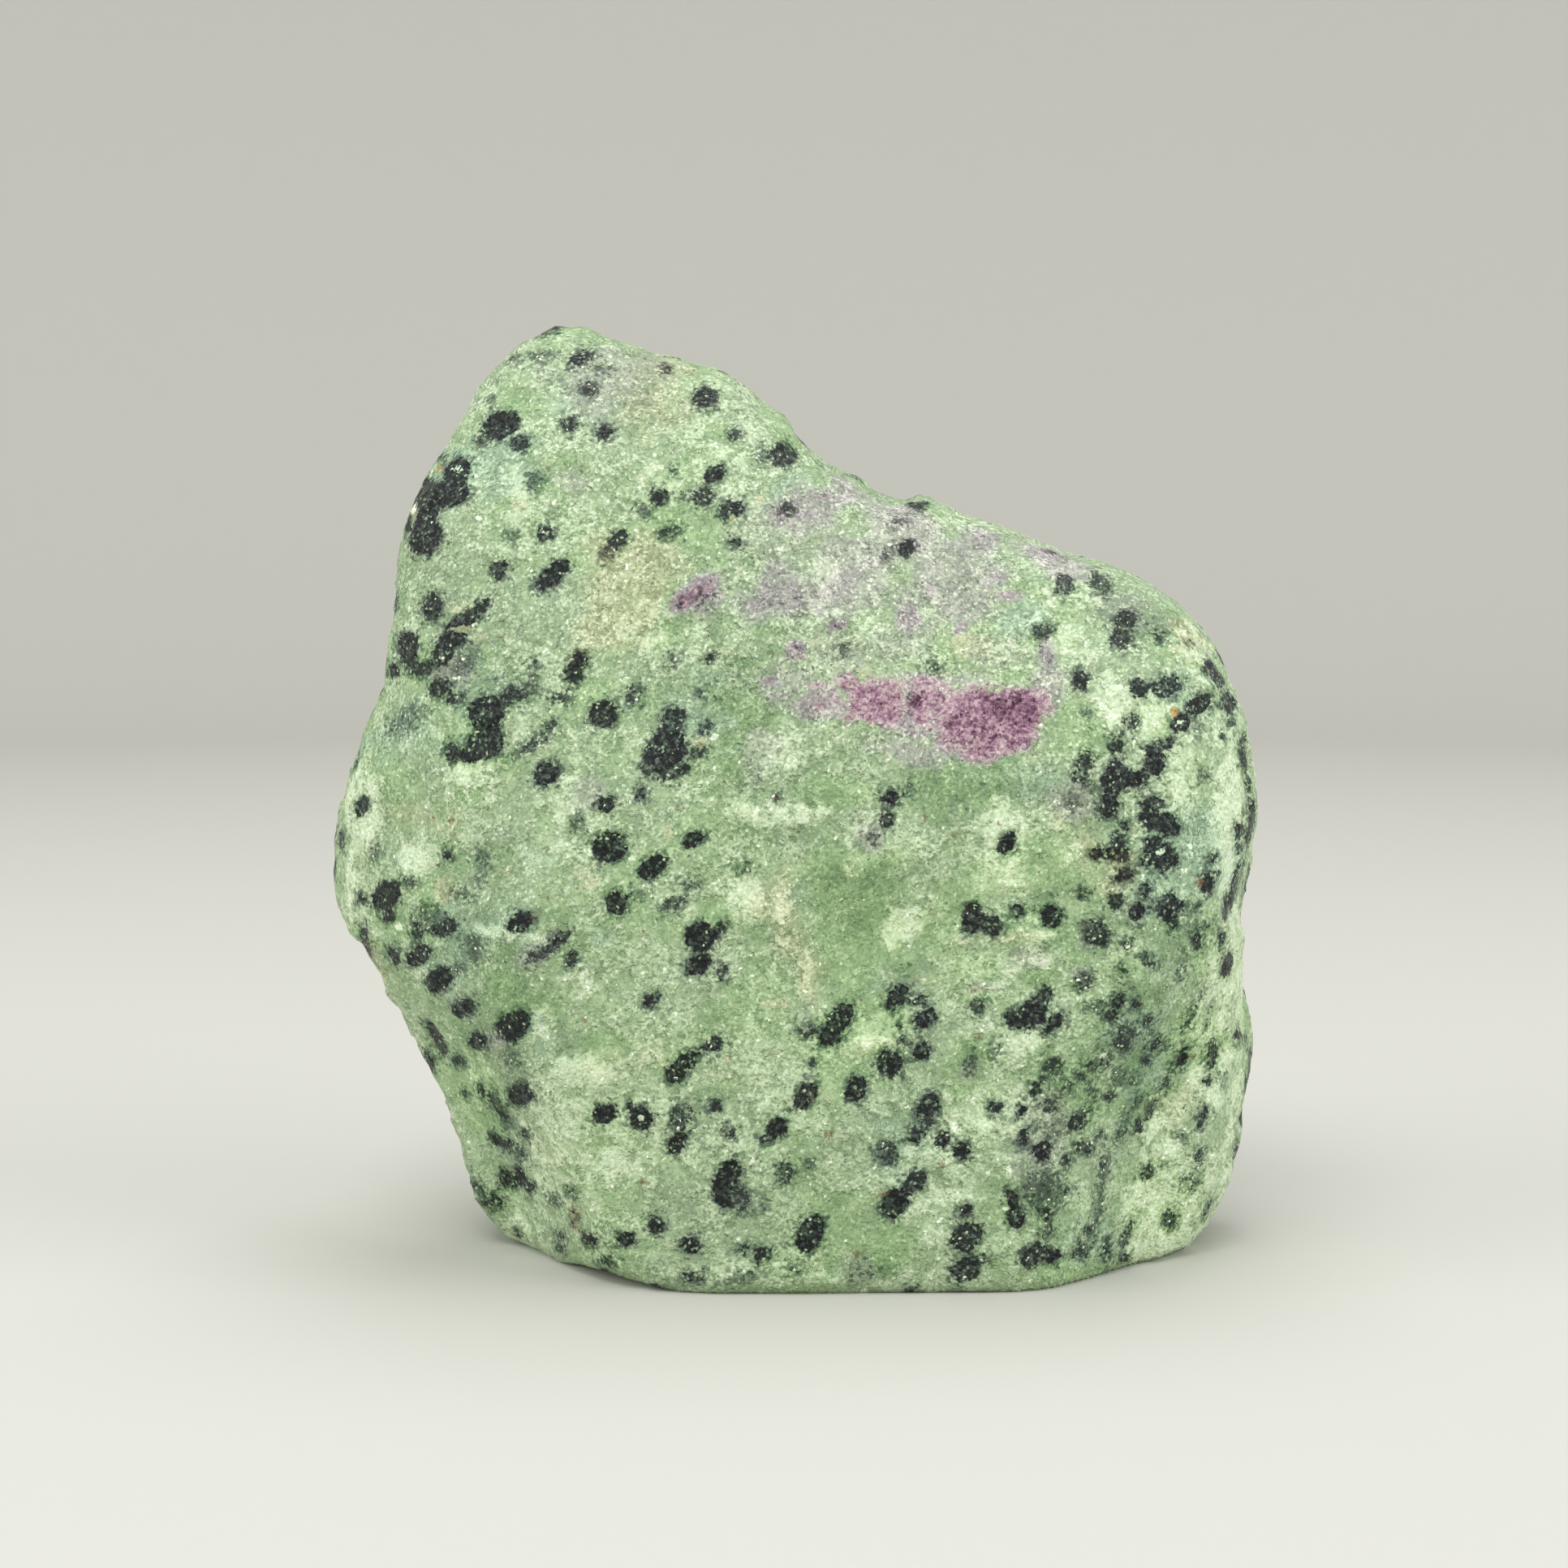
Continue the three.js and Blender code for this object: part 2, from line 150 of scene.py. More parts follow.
DARK_GRAINS = [
    (821, 455, 9, 8), (640, 545, 22, 16), (702, 523, 17, 16), (965, 560, 34, 26, 0.2), (813, 611, 22, 20),
    (866, 613, 26, 20, 0.2), (761, 668, 20, 24, 0.5), (907, 669, 14, 10), (673, 657, 18, 18),
    (615, 702, 19, 22, 0.2), (533, 748, 22, 30, 0.2), (596, 744, 14, 12, 0.3), (580, 757, 34, 16, 0.5),
    (518, 824, 34, 14, 0.1), (545, 809, 26, 24, 0.3), (542, 848, 24, 22, 0.2), (562, 862, 20, 12),
    (634, 857, 34, 18, 0.5), (446, 993, 15, 22, 0.4), (829, 890, 30, 36, 0.2), (830, 950, 40, 24, 0.4),
    (747, 991, 24, 18), (789, 980, 14, 14), (875, 811, 10, 12), (1092, 1010, 16, 16),
    (1387, 764, 26, 22, 0.2), (1380, 787, 24, 20), (1331, 838, 20, 20), (1404, 849, 21, 24),
    (1438, 847, 34, 26, 0.4), (1491, 823, 16, 18), (1502, 836, 14, 20), (1513, 866, 16, 24),
    (1375, 918, 17, 20), (1337, 941, 19, 24), (1329, 960, 14, 10), (1430, 919, 32, 12, 0.5),
    (1420, 990, 32, 12, 0.4), (1532, 932, 12, 16), (1535, 945, 8, 12), (1537, 965, 7, 14),
    (1542, 1000, 8, 30), (1542, 1012, 5, 20), (446, 1108, 8, 10), (478, 1128, 14, 14),
    (550, 1054, 11, 13), (546, 1142, 34, 22, 0.1), (515, 1145, 12, 20), (486, 1178, 14, 22, -0.5),
    (452, 1165, 10, 40, -0.7), (529, 1307, 9, 24, -0.5), (690, 1156, 22, 18, 0.4), (705, 1184, 14, 18),
    (889, 1142, 12, 12), (803, 1233, 20, 20, 0.4), (878, 1288, 24, 22, 0.4), (1223, 1140, 22, 26),
    (1254, 1122, 14, 16), (1133, 1233, 18, 10, 0.5), (1285, 1232, 18, 36, 0.5), (1288, 1273, 11, 8),
    (1074, 1034, 5, 5), (1384, 1018, 10, 10), (1378, 1035, 18, 20), (1382, 1053, 14, 22),
    (1431, 1070, 12, 10), (1493, 1059, 12, 9, 0.4), (1375, 1110, 20, 20), (1352, 1152, 32, 26),
    (1475, 1161, 9, 16), (1506, 1156, 9, 14, 0.4), (1389, 1165, 10, 9), (1419, 1188, 8, 8),
    (1398, 1238, 12, 8), (1368, 1251, 14, 12), (1414, 1258, 10, 10, 0.3), (1383, 1285, 16, 17),
    (1424, 1287, 13, 14, 0.4), (1412, 1305, 9, 9), (1525, 1275, 8, 14), (1494, 1298, 11, 34, 0.3),
    (1527, 1023, 11, 16), (1525, 1032, 8, 9), (1538, 1033, 6, 20), (1521, 1090, 10, 28, 0.6),
    (1515, 1111, 14, 24, 0.3), (1510, 1125, 6, 10), (594, 1345, 8, 16, -0.5), (615, 1366, 24, 36, -0.9),
    (648, 1397, 9, 9), (610, 1403, 14, 12), (625, 1411, 12, 12), (653, 1463, 10, 12),
    (612, 1480, 14, 14, -0.4), (684, 1478, 6, 8), (778, 1363, 8, 10), (881, 1362, 16, 15),
    (900, 1398, 10, 12), (943, 1402, 12, 9), (917, 1540, 10, 12), (940, 1545, 20, 18, 0.4),
    (850, 1573, 20, 8, -0.4), (869, 1576, 8, 8), (1128, 1398, 20, 22, 0.2), (1226, 1365, 17, 15),
    (1275, 1342, 13, 20, 0.4), (1262, 1403, 11, 24), (1127, 1457, 27, 28, 0.3), (1190, 1491, 14, 13),
    (1190, 1524, 38, 32, 0.2), (1190, 1564, 36, 31, 0.3), (1277, 1544, 30, 22, 0.2), (1267, 1555, 17, 16),
    (1122, 1589, 12, 8), (1346, 1313, 10, 10), (1362, 1307, 7, 11), (1347, 1344, 6, 6),
    (1366, 1351, 11, 8), (1325, 1383, 18, 17, 0.2), (1337, 1414, 22, 14, -0.2), (1311, 1431, 11, 11),
    (1341, 1516, 9, 13), (1404, 1387, 10, 14, 0.4), (1486, 1369, 5, 9), (1480, 1383, 8, 14, 0.6),
    (1525, 1420, 7, 20, 0.5), (1384, 1550, 14, 7),
]
DULL_GRAINS = [
    (677, 408, 26, 10, 0.5), (726, 480, 22, 16), (594, 543, 16, 12), (905, 537, 16, 12, 0.3),
    (830, 580, 9, 8), (968, 627, 13, 16), (826, 657, 30, 16, 0.4), (749, 680, 18, 18, 0.4),
    (543, 564, 10, 9), (527, 592, 9, 12, 0.3), (488, 742, 7, 20), (660, 817, 9, 8),
    (652, 920, 40, 26, 0.93), (679, 892, 14, 12), (692, 858, 26, 14, 0.2), (440, 938, 6, 8),
    (781, 856, 20, 26, 0.3), (800, 945, 20, 20), (862, 925, 24, 14), (869, 898, 14, 18),
    (1296, 679, 20, 8), (1130, 860, 10, 12), (1037, 800, 8, 10), (1285, 778, 26, 14, 0.2),
    (956, 985, 6, 8), (1311, 722, 24, 24), (1356, 719, 22, 24, -0.3), (1430, 785, 12, 14),
    (1461, 792, 8, 7), (1517, 890, 10, 12), (1508, 908, 8, 8), (1393, 889, 16, 18), (1532, 915, 8, 16),
    (421, 1035, 6, 20), (504, 1087, 14, 10), (670, 1172, 36, 20, 0.8), (829, 1115, 34, 16, 0.5),
    (889, 1198, 14, 20), (997, 1270, 20, 16), (1108, 1265, 8, 8), (1116, 1283, 16, 12),
    (1205, 1240, 12, 20), (1297, 1314, 24, 22), (1001, 1308, 9, 12, 0.3), (1501, 1079, 5, 10),
    (1335, 1100, 13, 12), (1474, 1119, 10, 10), (1345, 1140, 20, 14), (1483, 1141, 14, 6, 0.5),
    (1409, 1178, 12, 12), (1386, 1195, 6, 6), (1335, 1209, 18, 22), (1387, 1272, 20, 12),
    (1470, 1246, 22, 44, 0.97), (1527, 1046, 6, 14), (1528, 1062, 5, 15, 0.3), (573, 1348, 8, 8),
    (641, 1419, 7, 14, -0.4), (593, 1472, 22, 34, -0.92), (639, 1518, 8, 10, -0.4),
    (690, 1522, 10, 12, -0.4), (690, 1538, 10, 8), (840, 1375, 26, 36, 0.2), (911, 1476, 28, 34, -0.2),
    (967, 1445, 22, 26), (747, 1555, 20, 10, -0.4), (1140, 1384, 18, 18), (1092, 1422, 26, 28),
    (1293, 1363, 18, 18), (1213, 1550, 14, 9), (1291, 1518, 13, 22, 0.5), (1333, 1326, 14, 12),
    (1316, 1338, 10, 10), (1337, 1370, 13, 7, 0.5), (1355, 1403, 12, 13, 0.5), (1360, 1432, 10, 18),
    (1332, 1542, 20, 20, 0.5), (1312, 1470, 12, 9), (1438, 1328, 10, 26, 0.85), (1447, 1314, 10, 16, 0.6),
    (1416, 1367, 14, 30, 0.93), (1402, 1355, 8, 15, 0.5), (1381, 1398, 14, 9, 0.4),
    (1488, 1331, 9, 12, 0.3), (1415, 1442, 13, 20, 0.4), (1478, 1430, 12, 24, 0.3),
    (1441, 1502, 16, 26, -0.2), (1439, 1508, 9, 12), (1487, 1488, 10, 18, 0.85),
    (1389, 1521, 16, 36, 0.85), (1363, 1540, 10, 32, 0.2), (1540, 1303, 4, 20),
]
FAINT_GRAINS = [
    (666, 438, 30, 9, 0.5), (634, 443, 13, 9), (604, 491, 8, 6), (744, 456, 16, 12), (942, 560, 14, 16),
    (846, 611, 18, 8), (795, 630, 12, 12), (658, 594, 20, 20), (632, 662, 12, 10),
    (500, 888, 42, 36, 0.7), (655, 838, 12, 34, 0.3), (574, 816, 30, 22, 0.3), (828, 812, 20, 16),
    (862, 852, 9, 12), (1092, 685, 8, 6), (1110, 643, 18, 8, 0.3), (1058, 592, 16, 10),
    (1153, 822, 18, 6), (1119, 973, 10, 14), (1478, 898, 12, 10), (1340, 880, 10, 10),
    (1340, 968, 12, 10), (1322, 988, 16, 16), (1482, 955, 12, 14), (462, 1050, 14, 20),
    (594, 1060, 12, 24), (590, 1085, 10, 12), (528, 1130, 38, 32), (560, 1195, 18, 16, 0.4),
    (585, 1170, 20, 30), (568, 1102, 24, 8), (632, 1305, 14, 14), (712, 1012, 14, 16), (787, 1103, 10, 6),
    (917, 1068, 20, 14), (850, 1090, 30, 12), (992, 1266, 24, 12), (1225, 1294, 12, 20, 0.3),
    (1468, 1147, 10, 12), (1457, 1192, 10, 24, 0.5), (1349, 1242, 18, 10), (1490, 1250, 12, 34, 0.8),
    (1534, 1282, 6, 10), (1533, 1108, 4, 18), (700, 1470, 12, 14), (893, 1390, 12, 16),
    (995, 1435, 10, 16), (939, 1485, 8, 14), (918, 1573, 34, 10, 0.4), (976, 1562, 14, 12),
    (1295, 1325, 18, 20), (1300, 1472, 11, 30, -0.4), (1290, 1468, 44, 50), (1379, 1330, 16, 20),
    (1394, 1329, 16, 8, 0.3), (1283, 1389, 10, 9), (1301, 1391, 14, 12), (1359, 1456, 9, 28, 0.3),
    (1353, 1491, 11, 22, 0.3), (1348, 1512, 10, 32, 0.4), (1390, 1377, 10, 22, 0.7),
    (1503, 1327, 8, 14, 0.4), (1453, 1398, 10, 10), (1434, 1435, 12, 8), (1464, 1459, 26, 24, 0.1),
]
FRONT_GRAINS = {BLACK: BLACK_GRAINS, DARK: DARK_GRAINS, DULL: DULL_GRAINS, FAINT: FAINT_GRAINS}

# Painted highlights where crystal faces catch the light, chips of cream crust, and rusty and ochre specks
GLINTS = [
    (880, 908, 12, 12), (1302, 988, 9, 9), (1398, 915, 7, 8), (1080, 754, 8, 8), (626, 1070, 8, 9),
    (492, 1142, 11, 11), (727, 1050, 9, 9), (762, 1141, 7, 10), (833, 1248, 14, 9), (779, 1057, 12, 7),
    (789, 1377, 9, 8), (927, 1430, 9, 9), (1225, 1145, 7, 6), (1181, 1200, 6, 6),
    (1178, 1390, 13, 17, -0.3), (1199, 1355, 8, 8), (1242, 1441, 10, 13, 0.3), (1240, 1490, 9, 13, -0.2),
    (1270, 1360, 7, 7), (1065, 1591, 11, 7), (1080, 1570, 6, 11), (1118, 1363, 7, 7), (1416, 1057, 8, 12),
    (1430, 1049, 12, 8, 0.4), (903, 614, 9, 7), (565, 577, 14, 8, 0.2), (510, 626, 7, 18, 0.3),
    (545, 809, 11, 8), (1453, 890, 13, 7, 0.4), (562, 835, 10, 7, -0.3), (590, 638, 9, 7),
    (563, 749, 11, 5, 0.5), (584, 771, 10, 5, 0.5), (563, 833, 7, 7), (1360, 1300, 7, 7),
    (1390, 1166, 6, 6), (1466, 1043, 8, 10), (1466, 1053, 8, 10), (1459, 1072, 8, 8), (1358, 1300, 8, 8),
    (1314, 1477, 8, 8), (1325, 1146, 6, 6), (833, 1330, 7, 7),
]
CREAM_CHIPS = [
    (566, 749, 24, 12, 0.3), (570, 775, 28, 9, 0.3), (590, 785, 18, 12, 0.5), (510, 632, 7, 26, 0.2),
    (724, 818, 9, 8), (863, 914, 20, 15, 0.2), (728, 1088, 20, 18), (824, 1026, 15, 13),
    (827, 683, 13, 11), (785, 715, 13, 9, 0.3), (760, 760, 15, 11), (623, 1072, 10, 12),
    (541, 1088, 12, 10), (1185, 790, 24, 16, 0.2), (1064, 828, 16, 14), (1006, 790, 15, 12),
    (1108, 942, 10, 10), (956, 1236, 34, 9, 0.1), (790, 1310, 14, 9), (895, 1306, 12, 12),
    (1448, 800, 14, 10, -0.3), (640, 622, 18, 12, 0.2), (905, 640, 12, 12), (936, 616, 12, 18, 0.2),
    (632, 1445, 5, 12), (1150, 1125, 6, 14),
]
RUST_SPECKS = [
    (1174, 1029, 8, 8), (1140, 1008, 6, 9), (1228, 1015, 8, 8), (1303, 1010, 8, 9), (1200, 1222, 7, 7),
    (1206, 1278, 11, 9), (1083, 1470, 6, 8), (1022, 1397, 9, 14), (1160, 1435, 9, 9),
    (1477, 1086, 10, 10), (1341, 1222, 7, 7), (1154, 1571, 9, 7), (1055, 1546, 9, 13), (842, 1213, 6, 6),
    (858, 1425, 6, 6), (893, 1335, 6, 6), (694, 771, 6, 6), (620, 783, 6, 6), (532, 1010, 8, 7),
    (556, 1012, 8, 7), (720, 1255, 7, 7), (724, 1262, 6, 8), (868, 1118, 5, 5), (955, 985, 7, 5),
    (1073, 1034, 6, 6), (1190, 1036, 5, 7), (656, 1130, 8, 6, 0.3), (1093, 1470, 6, 6), (707, 566, 6, 6),
    (716, 582, 6, 5), (740, 709, 6, 6), (615, 690, 5, 6), (713, 877, 6, 5), (1471, 1300, 8, 8),
    (793, 1456, 9, 9), (898, 1308, 6, 7),
]
OCHRE_SPECKS = [
    (1446, 877, 11, 12, 0.2), (1411, 1056, 6, 9), (541, 578, 7, 6, 0.4),
]
SPECKS = {
    "glint_edge": GLINTS, "rust_edge": RUST_SPECKS, "ochre_edge": OCHRE_SPECKS, "chip_edge": CREAM_CHIPS,
}

# Broad tints with soft edges. Their strength comes after how high they are.
RUBY_TINTS = [
    (1076, 866, 84, 70, 0.9), (1050, 842, 34, 28, 0.8), (1102, 872, 40, 44, 0.8),
    (1218, 887, 132, 80, 0.92, -0.1), (1236, 872, 74, 42, 1.22), (1262, 880, 34, 44, 1.2),
    (1190, 890, 50, 40, 0.98), (1148, 843, 64, 26, 0.6), (1142, 884, 26, 44, 0.55),
    (1175, 912, 60, 24, 0.7), (1005, 844, 32, 13, 0.65), (1016, 870, 26, 14, 0.55),
    (849, 736, 56, 40, 0.45, 0.8), (1182, 775, 18, 20, 0.4, 0.5), (1247, 733, 30, 11, 0.42),
    (950, 838, 40, 16, 0.36), (1090, 938, 22, 22, 0.36), (1280, 678, 40, 20, 0.4, -0.5),
    (1134, 870, 34, 60, 0.66), (1160, 862, 40, 50, 0.75), (1030, 862, 30, 24, 0.5),
    (1210, 846, 90, 14, 0.5),
]
MAUVE_TINTS = [
    (950, 730, 100, 80, 0.8, 0.2), (1045, 715, 110, 130, 0.8), (1032, 771, 30, 18, 1.4, 0.4),
    (981, 801, 24, 24, 1.4), (1182, 775, 26, 28, 1.3, 0.5), (1247, 733, 40, 18, 1.3),
    (1231, 711, 36, 24, 1.0), (1290, 802, 24, 40, 0.9), (950, 837, 36, 13, 1.3),
    (1205, 665, 50, 30, 1.0, 0.2), (1040, 722, 50, 40, 1.0, 0.4), (870, 745, 50, 40, 0.7, 0.4),
    (1121, 762, 30, 24, 1.3), (1005, 622, 100, 50, 0.9, 0.2), (849, 736, 70, 54, 1.3, 0.75),
    (1110, 650, 110, 90, 0.85, -0.4), (1070, 690, 380, 200, 0.5, -0.3), (1170, 720, 170, 130, 0.75),
    (1285, 685, 90, 50, 1.0, -0.6), (1000, 622, 110, 70, 0.8, -0.2), (870, 740, 80, 70, 0.5, 0.3),
    (1060, 800, 160, 70, 0.55), (1225, 800, 90, 60, 0.5), (960, 840, 100, 60, 0.7),
    (1000, 874, 70, 36, 1.0), (966, 857, 36, 12, 0.9), (1110, 922, 110, 46, 0.9, -0.2),
    (1200, 665, 70, 60, 0.8), (1160, 838, 160, 30, 0.7), (1290, 850, 40, 60, 0.8),
    (945, 915, 40, 40, 0.6), (1130, 885, 60, 80, 1.1), (1010, 868, 90, 40, 1.1),
    (1190, 920, 130, 30, 0.9), (655, 1400, 40, 90, 0.4, -0.3), (740, 470, 120, 90, 0.6),
    (560, 824, 60, 44, 0.55), (1390, 755, 110, 60, 0.5, -0.3), (1060, 1556, 70, 50, 0.4),
    (990, 1250, 40, 40, 0.4), (1268, 1178, 60, 40, 0.6), (725, 975, 50, 44, 0.6, 0.3),
    (1290, 1390, 90, 120, 0.5), (1215, 1215, 60, 20, 0.5), (1075, 1030, 30, 40, 0.7),
    (940, 940, 50, 70, 0.5, 0.3), (1345, 1150, 70, 50, 0.6), (1335, 1205, 50, 50, 0.6),
    (610, 1280, 50, 30, 0.6), (670, 1170, 60, 44, 0.6, 0.7), (1320, 985, 50, 50, 0.6),
    (1193, 1320, 50, 50, 0.4), (790, 470, 90, 90, 0.45), (700, 590, 60, 40, 0.6),
]
WARM_TINTS = [
    (795, 500, 90, 150, 0.7), (720, 560, 90, 120, 0.35), (770, 735, 120, 130, 0.9, 0.2),
    (830, 690, 60, 60, 0.6), (970, 1125, 60, 90, 0.9, -0.3), (1008, 1195, 44, 100, 0.7, -0.3),
    (1375, 1080, 70, 60, 0.7), (1470, 785, 50, 50, 0.8, -0.5), (760, 1310, 150, 70, 0.45, 0.4),
    (1320, 1010, 70, 70, 0.5), (1470, 1360, 90, 70, 0.5), (800, 1330, 120, 80, 0.3),
    (920, 1320, 90, 60, 0.4), (1020, 1350, 50, 60, 0.3), (1060, 1470, 80, 60, 0.3),
    (962, 1130, 26, 80, 1.0), (978, 1165, 30, 26, 0.9, -0.3), (996, 1205, 22, 90, 1.0, -0.35),
    (720, 1078, 50, 50, 0.5), (546, 1098, 28, 34, 0.9), (530, 1012, 100, 50, 0.6),
    (785, 495, 44, 110, 0.8), (1190, 795, 60, 40, 0.8, 0.1), (1230, 735, 60, 30, 0.6),
    (980, 590, 60, 30, 0.4), (1340, 1055, 44, 80, 0.7), (470, 1205, 44, 90, 0.7, -0.85),
    (1085, 1287, 90, 18, 0.35, 0.6), (1235, 1157, 150, 18, 0.6, 0.35), (993, 1350, 50, 50, 0.6),
    (709, 1500, 18, 40, 1.4, -0.2), (1000, 660, 70, 50, 0.5, 0.3), (880, 800, 50, 40, 0.5),
    (1020, 735, 90, 50, 0.5, 0.4), (1130, 650, 60, 40, 0.6), (1440, 1360, 90, 40, 0.6, 0.5),
    (1145, 1210, 80, 18, 0.7, -0.6), (620, 1440, 30, 60, 0.4, -0.4), (690, 1420, 60, 60, 0.4),
    (790, 960, 60, 40, 0.4), (455, 1060, 30, 110, 0.4),
]
# Paler patches; the narrow tall strips along the left and right edges also paint in the bright rim of
# light there
PALE_AND_RIM_LIGHT_TINTS = [
    (590, 945, 60, 30, 0.9, 0.4), (515, 1060, 50, 50, 1.0), (440, 1000, 40, 90, 0.8),
    (640, 620, 60, 60, 0.5), (950, 470, 60, 60, 0.5, -0.4), (965, 925, 60, 50, 0.7),
    (1111, 1135, 60, 64, 1.1, 0.3), (1239, 1076, 60, 46, 0.8), (1375, 865, 60, 60, 0.9),
    (1515, 1000, 40, 170, 1.0, 0.1), (1040, 1225, 60, 60, 0.3), (775, 1400, 170, 150, 0.5),
    (1150, 1480, 130, 70, 0.7, 0.3), (1230, 1370, 110, 90, 0.5), (1450, 1422, 50, 54, 0.9),
    (1500, 1230, 70, 130, 0.9, 0.2), (1455, 1500, 110, 110, 0.7, 0.3), (1520, 1360, 36, 150, 0.6),
    (1310, 740, 90, 60, 0.5), (720, 1440, 130, 130, 0.5), (950, 1330, 110, 90, 0.3),
    (1260, 1180, 90, 70, 0.45), (700, 1000, 120, 60, 0.35, 0.3), (1180, 1350, 60, 40, 0.4),
    (580, 965, 50, 26, 0.8, 0.3), (698, 985, 30, 60, 0.7, 0.3), (665, 1048, 70, 40, 0.6),
    (712, 1216, 66, 40, 0.8), (672, 1262, 40, 56, 0.9, 0.2), (432, 1060, 18, 150, 0.8),
    (1308, 790, 40, 28, 0.9), (1338, 808, 40, 20, 0.8, 0.3), (1425, 880, 44, 50, 0.9),
    (1455, 945, 40, 110, 0.7, 0.1), (1513, 985, 40, 60, 1.0), (1258, 1283, 44, 34, 1.0),
    (1175, 1475, 70, 50, 0.8), (755, 1430, 60, 50, 0.9), (1062, 1285, 80, 18, 0.9, 0.6),
    (960, 1003, 110, 22, 0.8), (620, 1150, 90, 16, 0.9, -0.8), (963, 1130, 22, 70, 0.7),
    (1060, 1045, 30, 60, 0.6, 0.5), (1290, 1150, 80, 14, 0.8, 0.2), (910, 1095, 50, 50, 0.8),
    (515, 1205, 30, 40, 0.6), (885, 575, 90, 60, 0.5, 0.2), (895, 1395, 50, 50, 0.5),
    (1240, 1020, 50, 60, 0.8), (1100, 1050, 80, 30, 0.6, 0.2), (750, 1000, 40, 40, 0.4),
    (1215, 1265, 60, 50, 0.5), (1140, 1420, 70, 40, 0.6), (1255, 1330, 60, 50, 0.5),
    (1420, 1495, 70, 110, 1.0, 0.3), (1500, 1225, 44, 110, 1.1, 0.2), (1513, 1060, 24, 90, 1.3, 0.1),
    (1108, 1136, 40, 36, 1.4), (1430, 1400, 60, 110, 0.7, 0.5), (900, 1562, 70, 24, 0.7),
    (630, 1500, 60, 60, 0.7, -0.5), (1160, 1500, 60, 90, 0.7), (1470, 800, 40, 80, 0.7, -0.4),
    (820, 590, 60, 50, 0.6), (800, 770, 90, 60, 0.45), (715, 1320, 110, 60, 0.8),
    (1000, 700, 50, 40, 0.6), (690, 1385, 90, 90, 0.62), (1000, 1190, 18, 60, 0.5, -0.3),
    (1495, 1330, 50, 90, 0.8, 0.2), (1500, 1450, 60, 80, 0.8, 0.3), (1450, 1450, 60, 60, 0.8, 0.3),
    (1320, 1060, 50, 50, 0.6), (1485, 1200, 40, 40, 0.6), (1520, 1150, 30, 90, 0.9),
    (590, 1310, 30, 90, 0.6, -0.5), (1500, 900, 50, 50, 0.7),
]
# Darker green; the broad ones over the right-hand crease are also painted shade
DARKER_GREEN_AND_SHADE_TINTS = [
    (505, 950, 110, 110, 0.25), (600, 1055, 90, 50, 0.6), (655, 990, 110, 60, 0.35),
    (915, 860, 110, 170, 0.7), (1015, 955, 90, 80, 0.5), (1180, 965, 230, 70, 0.6),
    (1060, 1090, 120, 110, 0.6), (1290, 1115, 60, 30, 0.9, 0.5), (1390, 1265, 120, 170, 0.95, 0.2),
    (1340, 1180, 140, 120, 0.55), (1440, 1160, 130, 150, 0.55), (1340, 1330, 150, 180, 0.5),
    (1350, 1450, 110, 200, 0.35, 0.1), (520, 720, 70, 150, 0.5), (560, 830, 150, 110, 0.45),
    (730, 950, 110, 90, 0.35), (830, 860, 90, 60, 0.4), (560, 1165, 130, 130, 0.5),
    (730, 1130, 120, 110, 0.3), (1440, 1060, 120, 90, 0.5), (1100, 1380, 110, 130, 0.35),
    (1090, 1540, 130, 60, 0.4), (1260, 1460, 90, 130, 0.5), (700, 1290, 110, 60, 0.35),
    (1010, 1430, 110, 90, 0.35), (590, 1255, 110, 110, 0.45, -0.4), (620, 1430, 50, 130, 0.5, -0.3),
    (625, 1270, 90, 150, 0.7), (1130, 1160, 90, 90, 0.3), (1296, 1105, 44, 30, 1.0, 0.4),
    (620, 1210, 70, 70, 0.7), (1465, 1015, 80, 50, 0.8), (1355, 1012, 50, 30, 0.8),
    (1196, 1310, 34, 66, 1.2, 0.15), (970, 1030, 150, 30, 0.6), (1160, 1000, 60, 70, 0.7),
    (1110, 1195, 60, 24, 0.8), (575, 1055, 60, 30, 0.6, 0.3), (900, 1350, 60, 40, 0.4),
    (1075, 1240, 50, 20, 0.6), (640, 1325, 50, 60, 0.8), (1230, 1500, 40, 80, 0.4),
    (790, 850, 60, 50, 0.4), (1075, 1560, 60, 40, 1.2), (985, 870, 60, 90, 0.4), (890, 780, 60, 60, 0.4),
    (560, 720, 60, 60, 0.5), (955, 728, 80, 70, 0.85), (1150, 735, 120, 80, 0.4),
    (1032, 771, 34, 20, 1.0, 0.4), (981, 801, 22, 22, 1.2), (1290, 802, 24, 36, 1.1),
    (950, 837, 30, 12, 1.2), (849, 736, 50, 38, 1.4, 0.8), (870, 745, 50, 44, 0.9),
    (1000, 622, 80, 40, 0.6), (1200, 665, 50, 40, 0.7), (708, 1500, 20, 34, 1.4, -0.2),
    (1196, 1312, 30, 44, 1.6, 0.1), (1130, 872, 28, 50, 1.2), (1225, 888, 110, 60, 0.25),
    (750, 480, 120, 90, 0.5), (1400, 760, 90, 50, 0.8, -0.3), (1340, 1245, 50, 50, 0.9),
    (1285, 1470, 50, 60, 1.0), (620, 840, 50, 40, 0.9, 0.3), (575, 1165, 60, 60, 0.7),
    (640, 1375, 30, 50, 0.7, -0.3), (562, 822, 56, 40, 0.8), (1070, 1230, 60, 50, 0.5),
    (1160, 1320, 60, 60, 0.5),
]
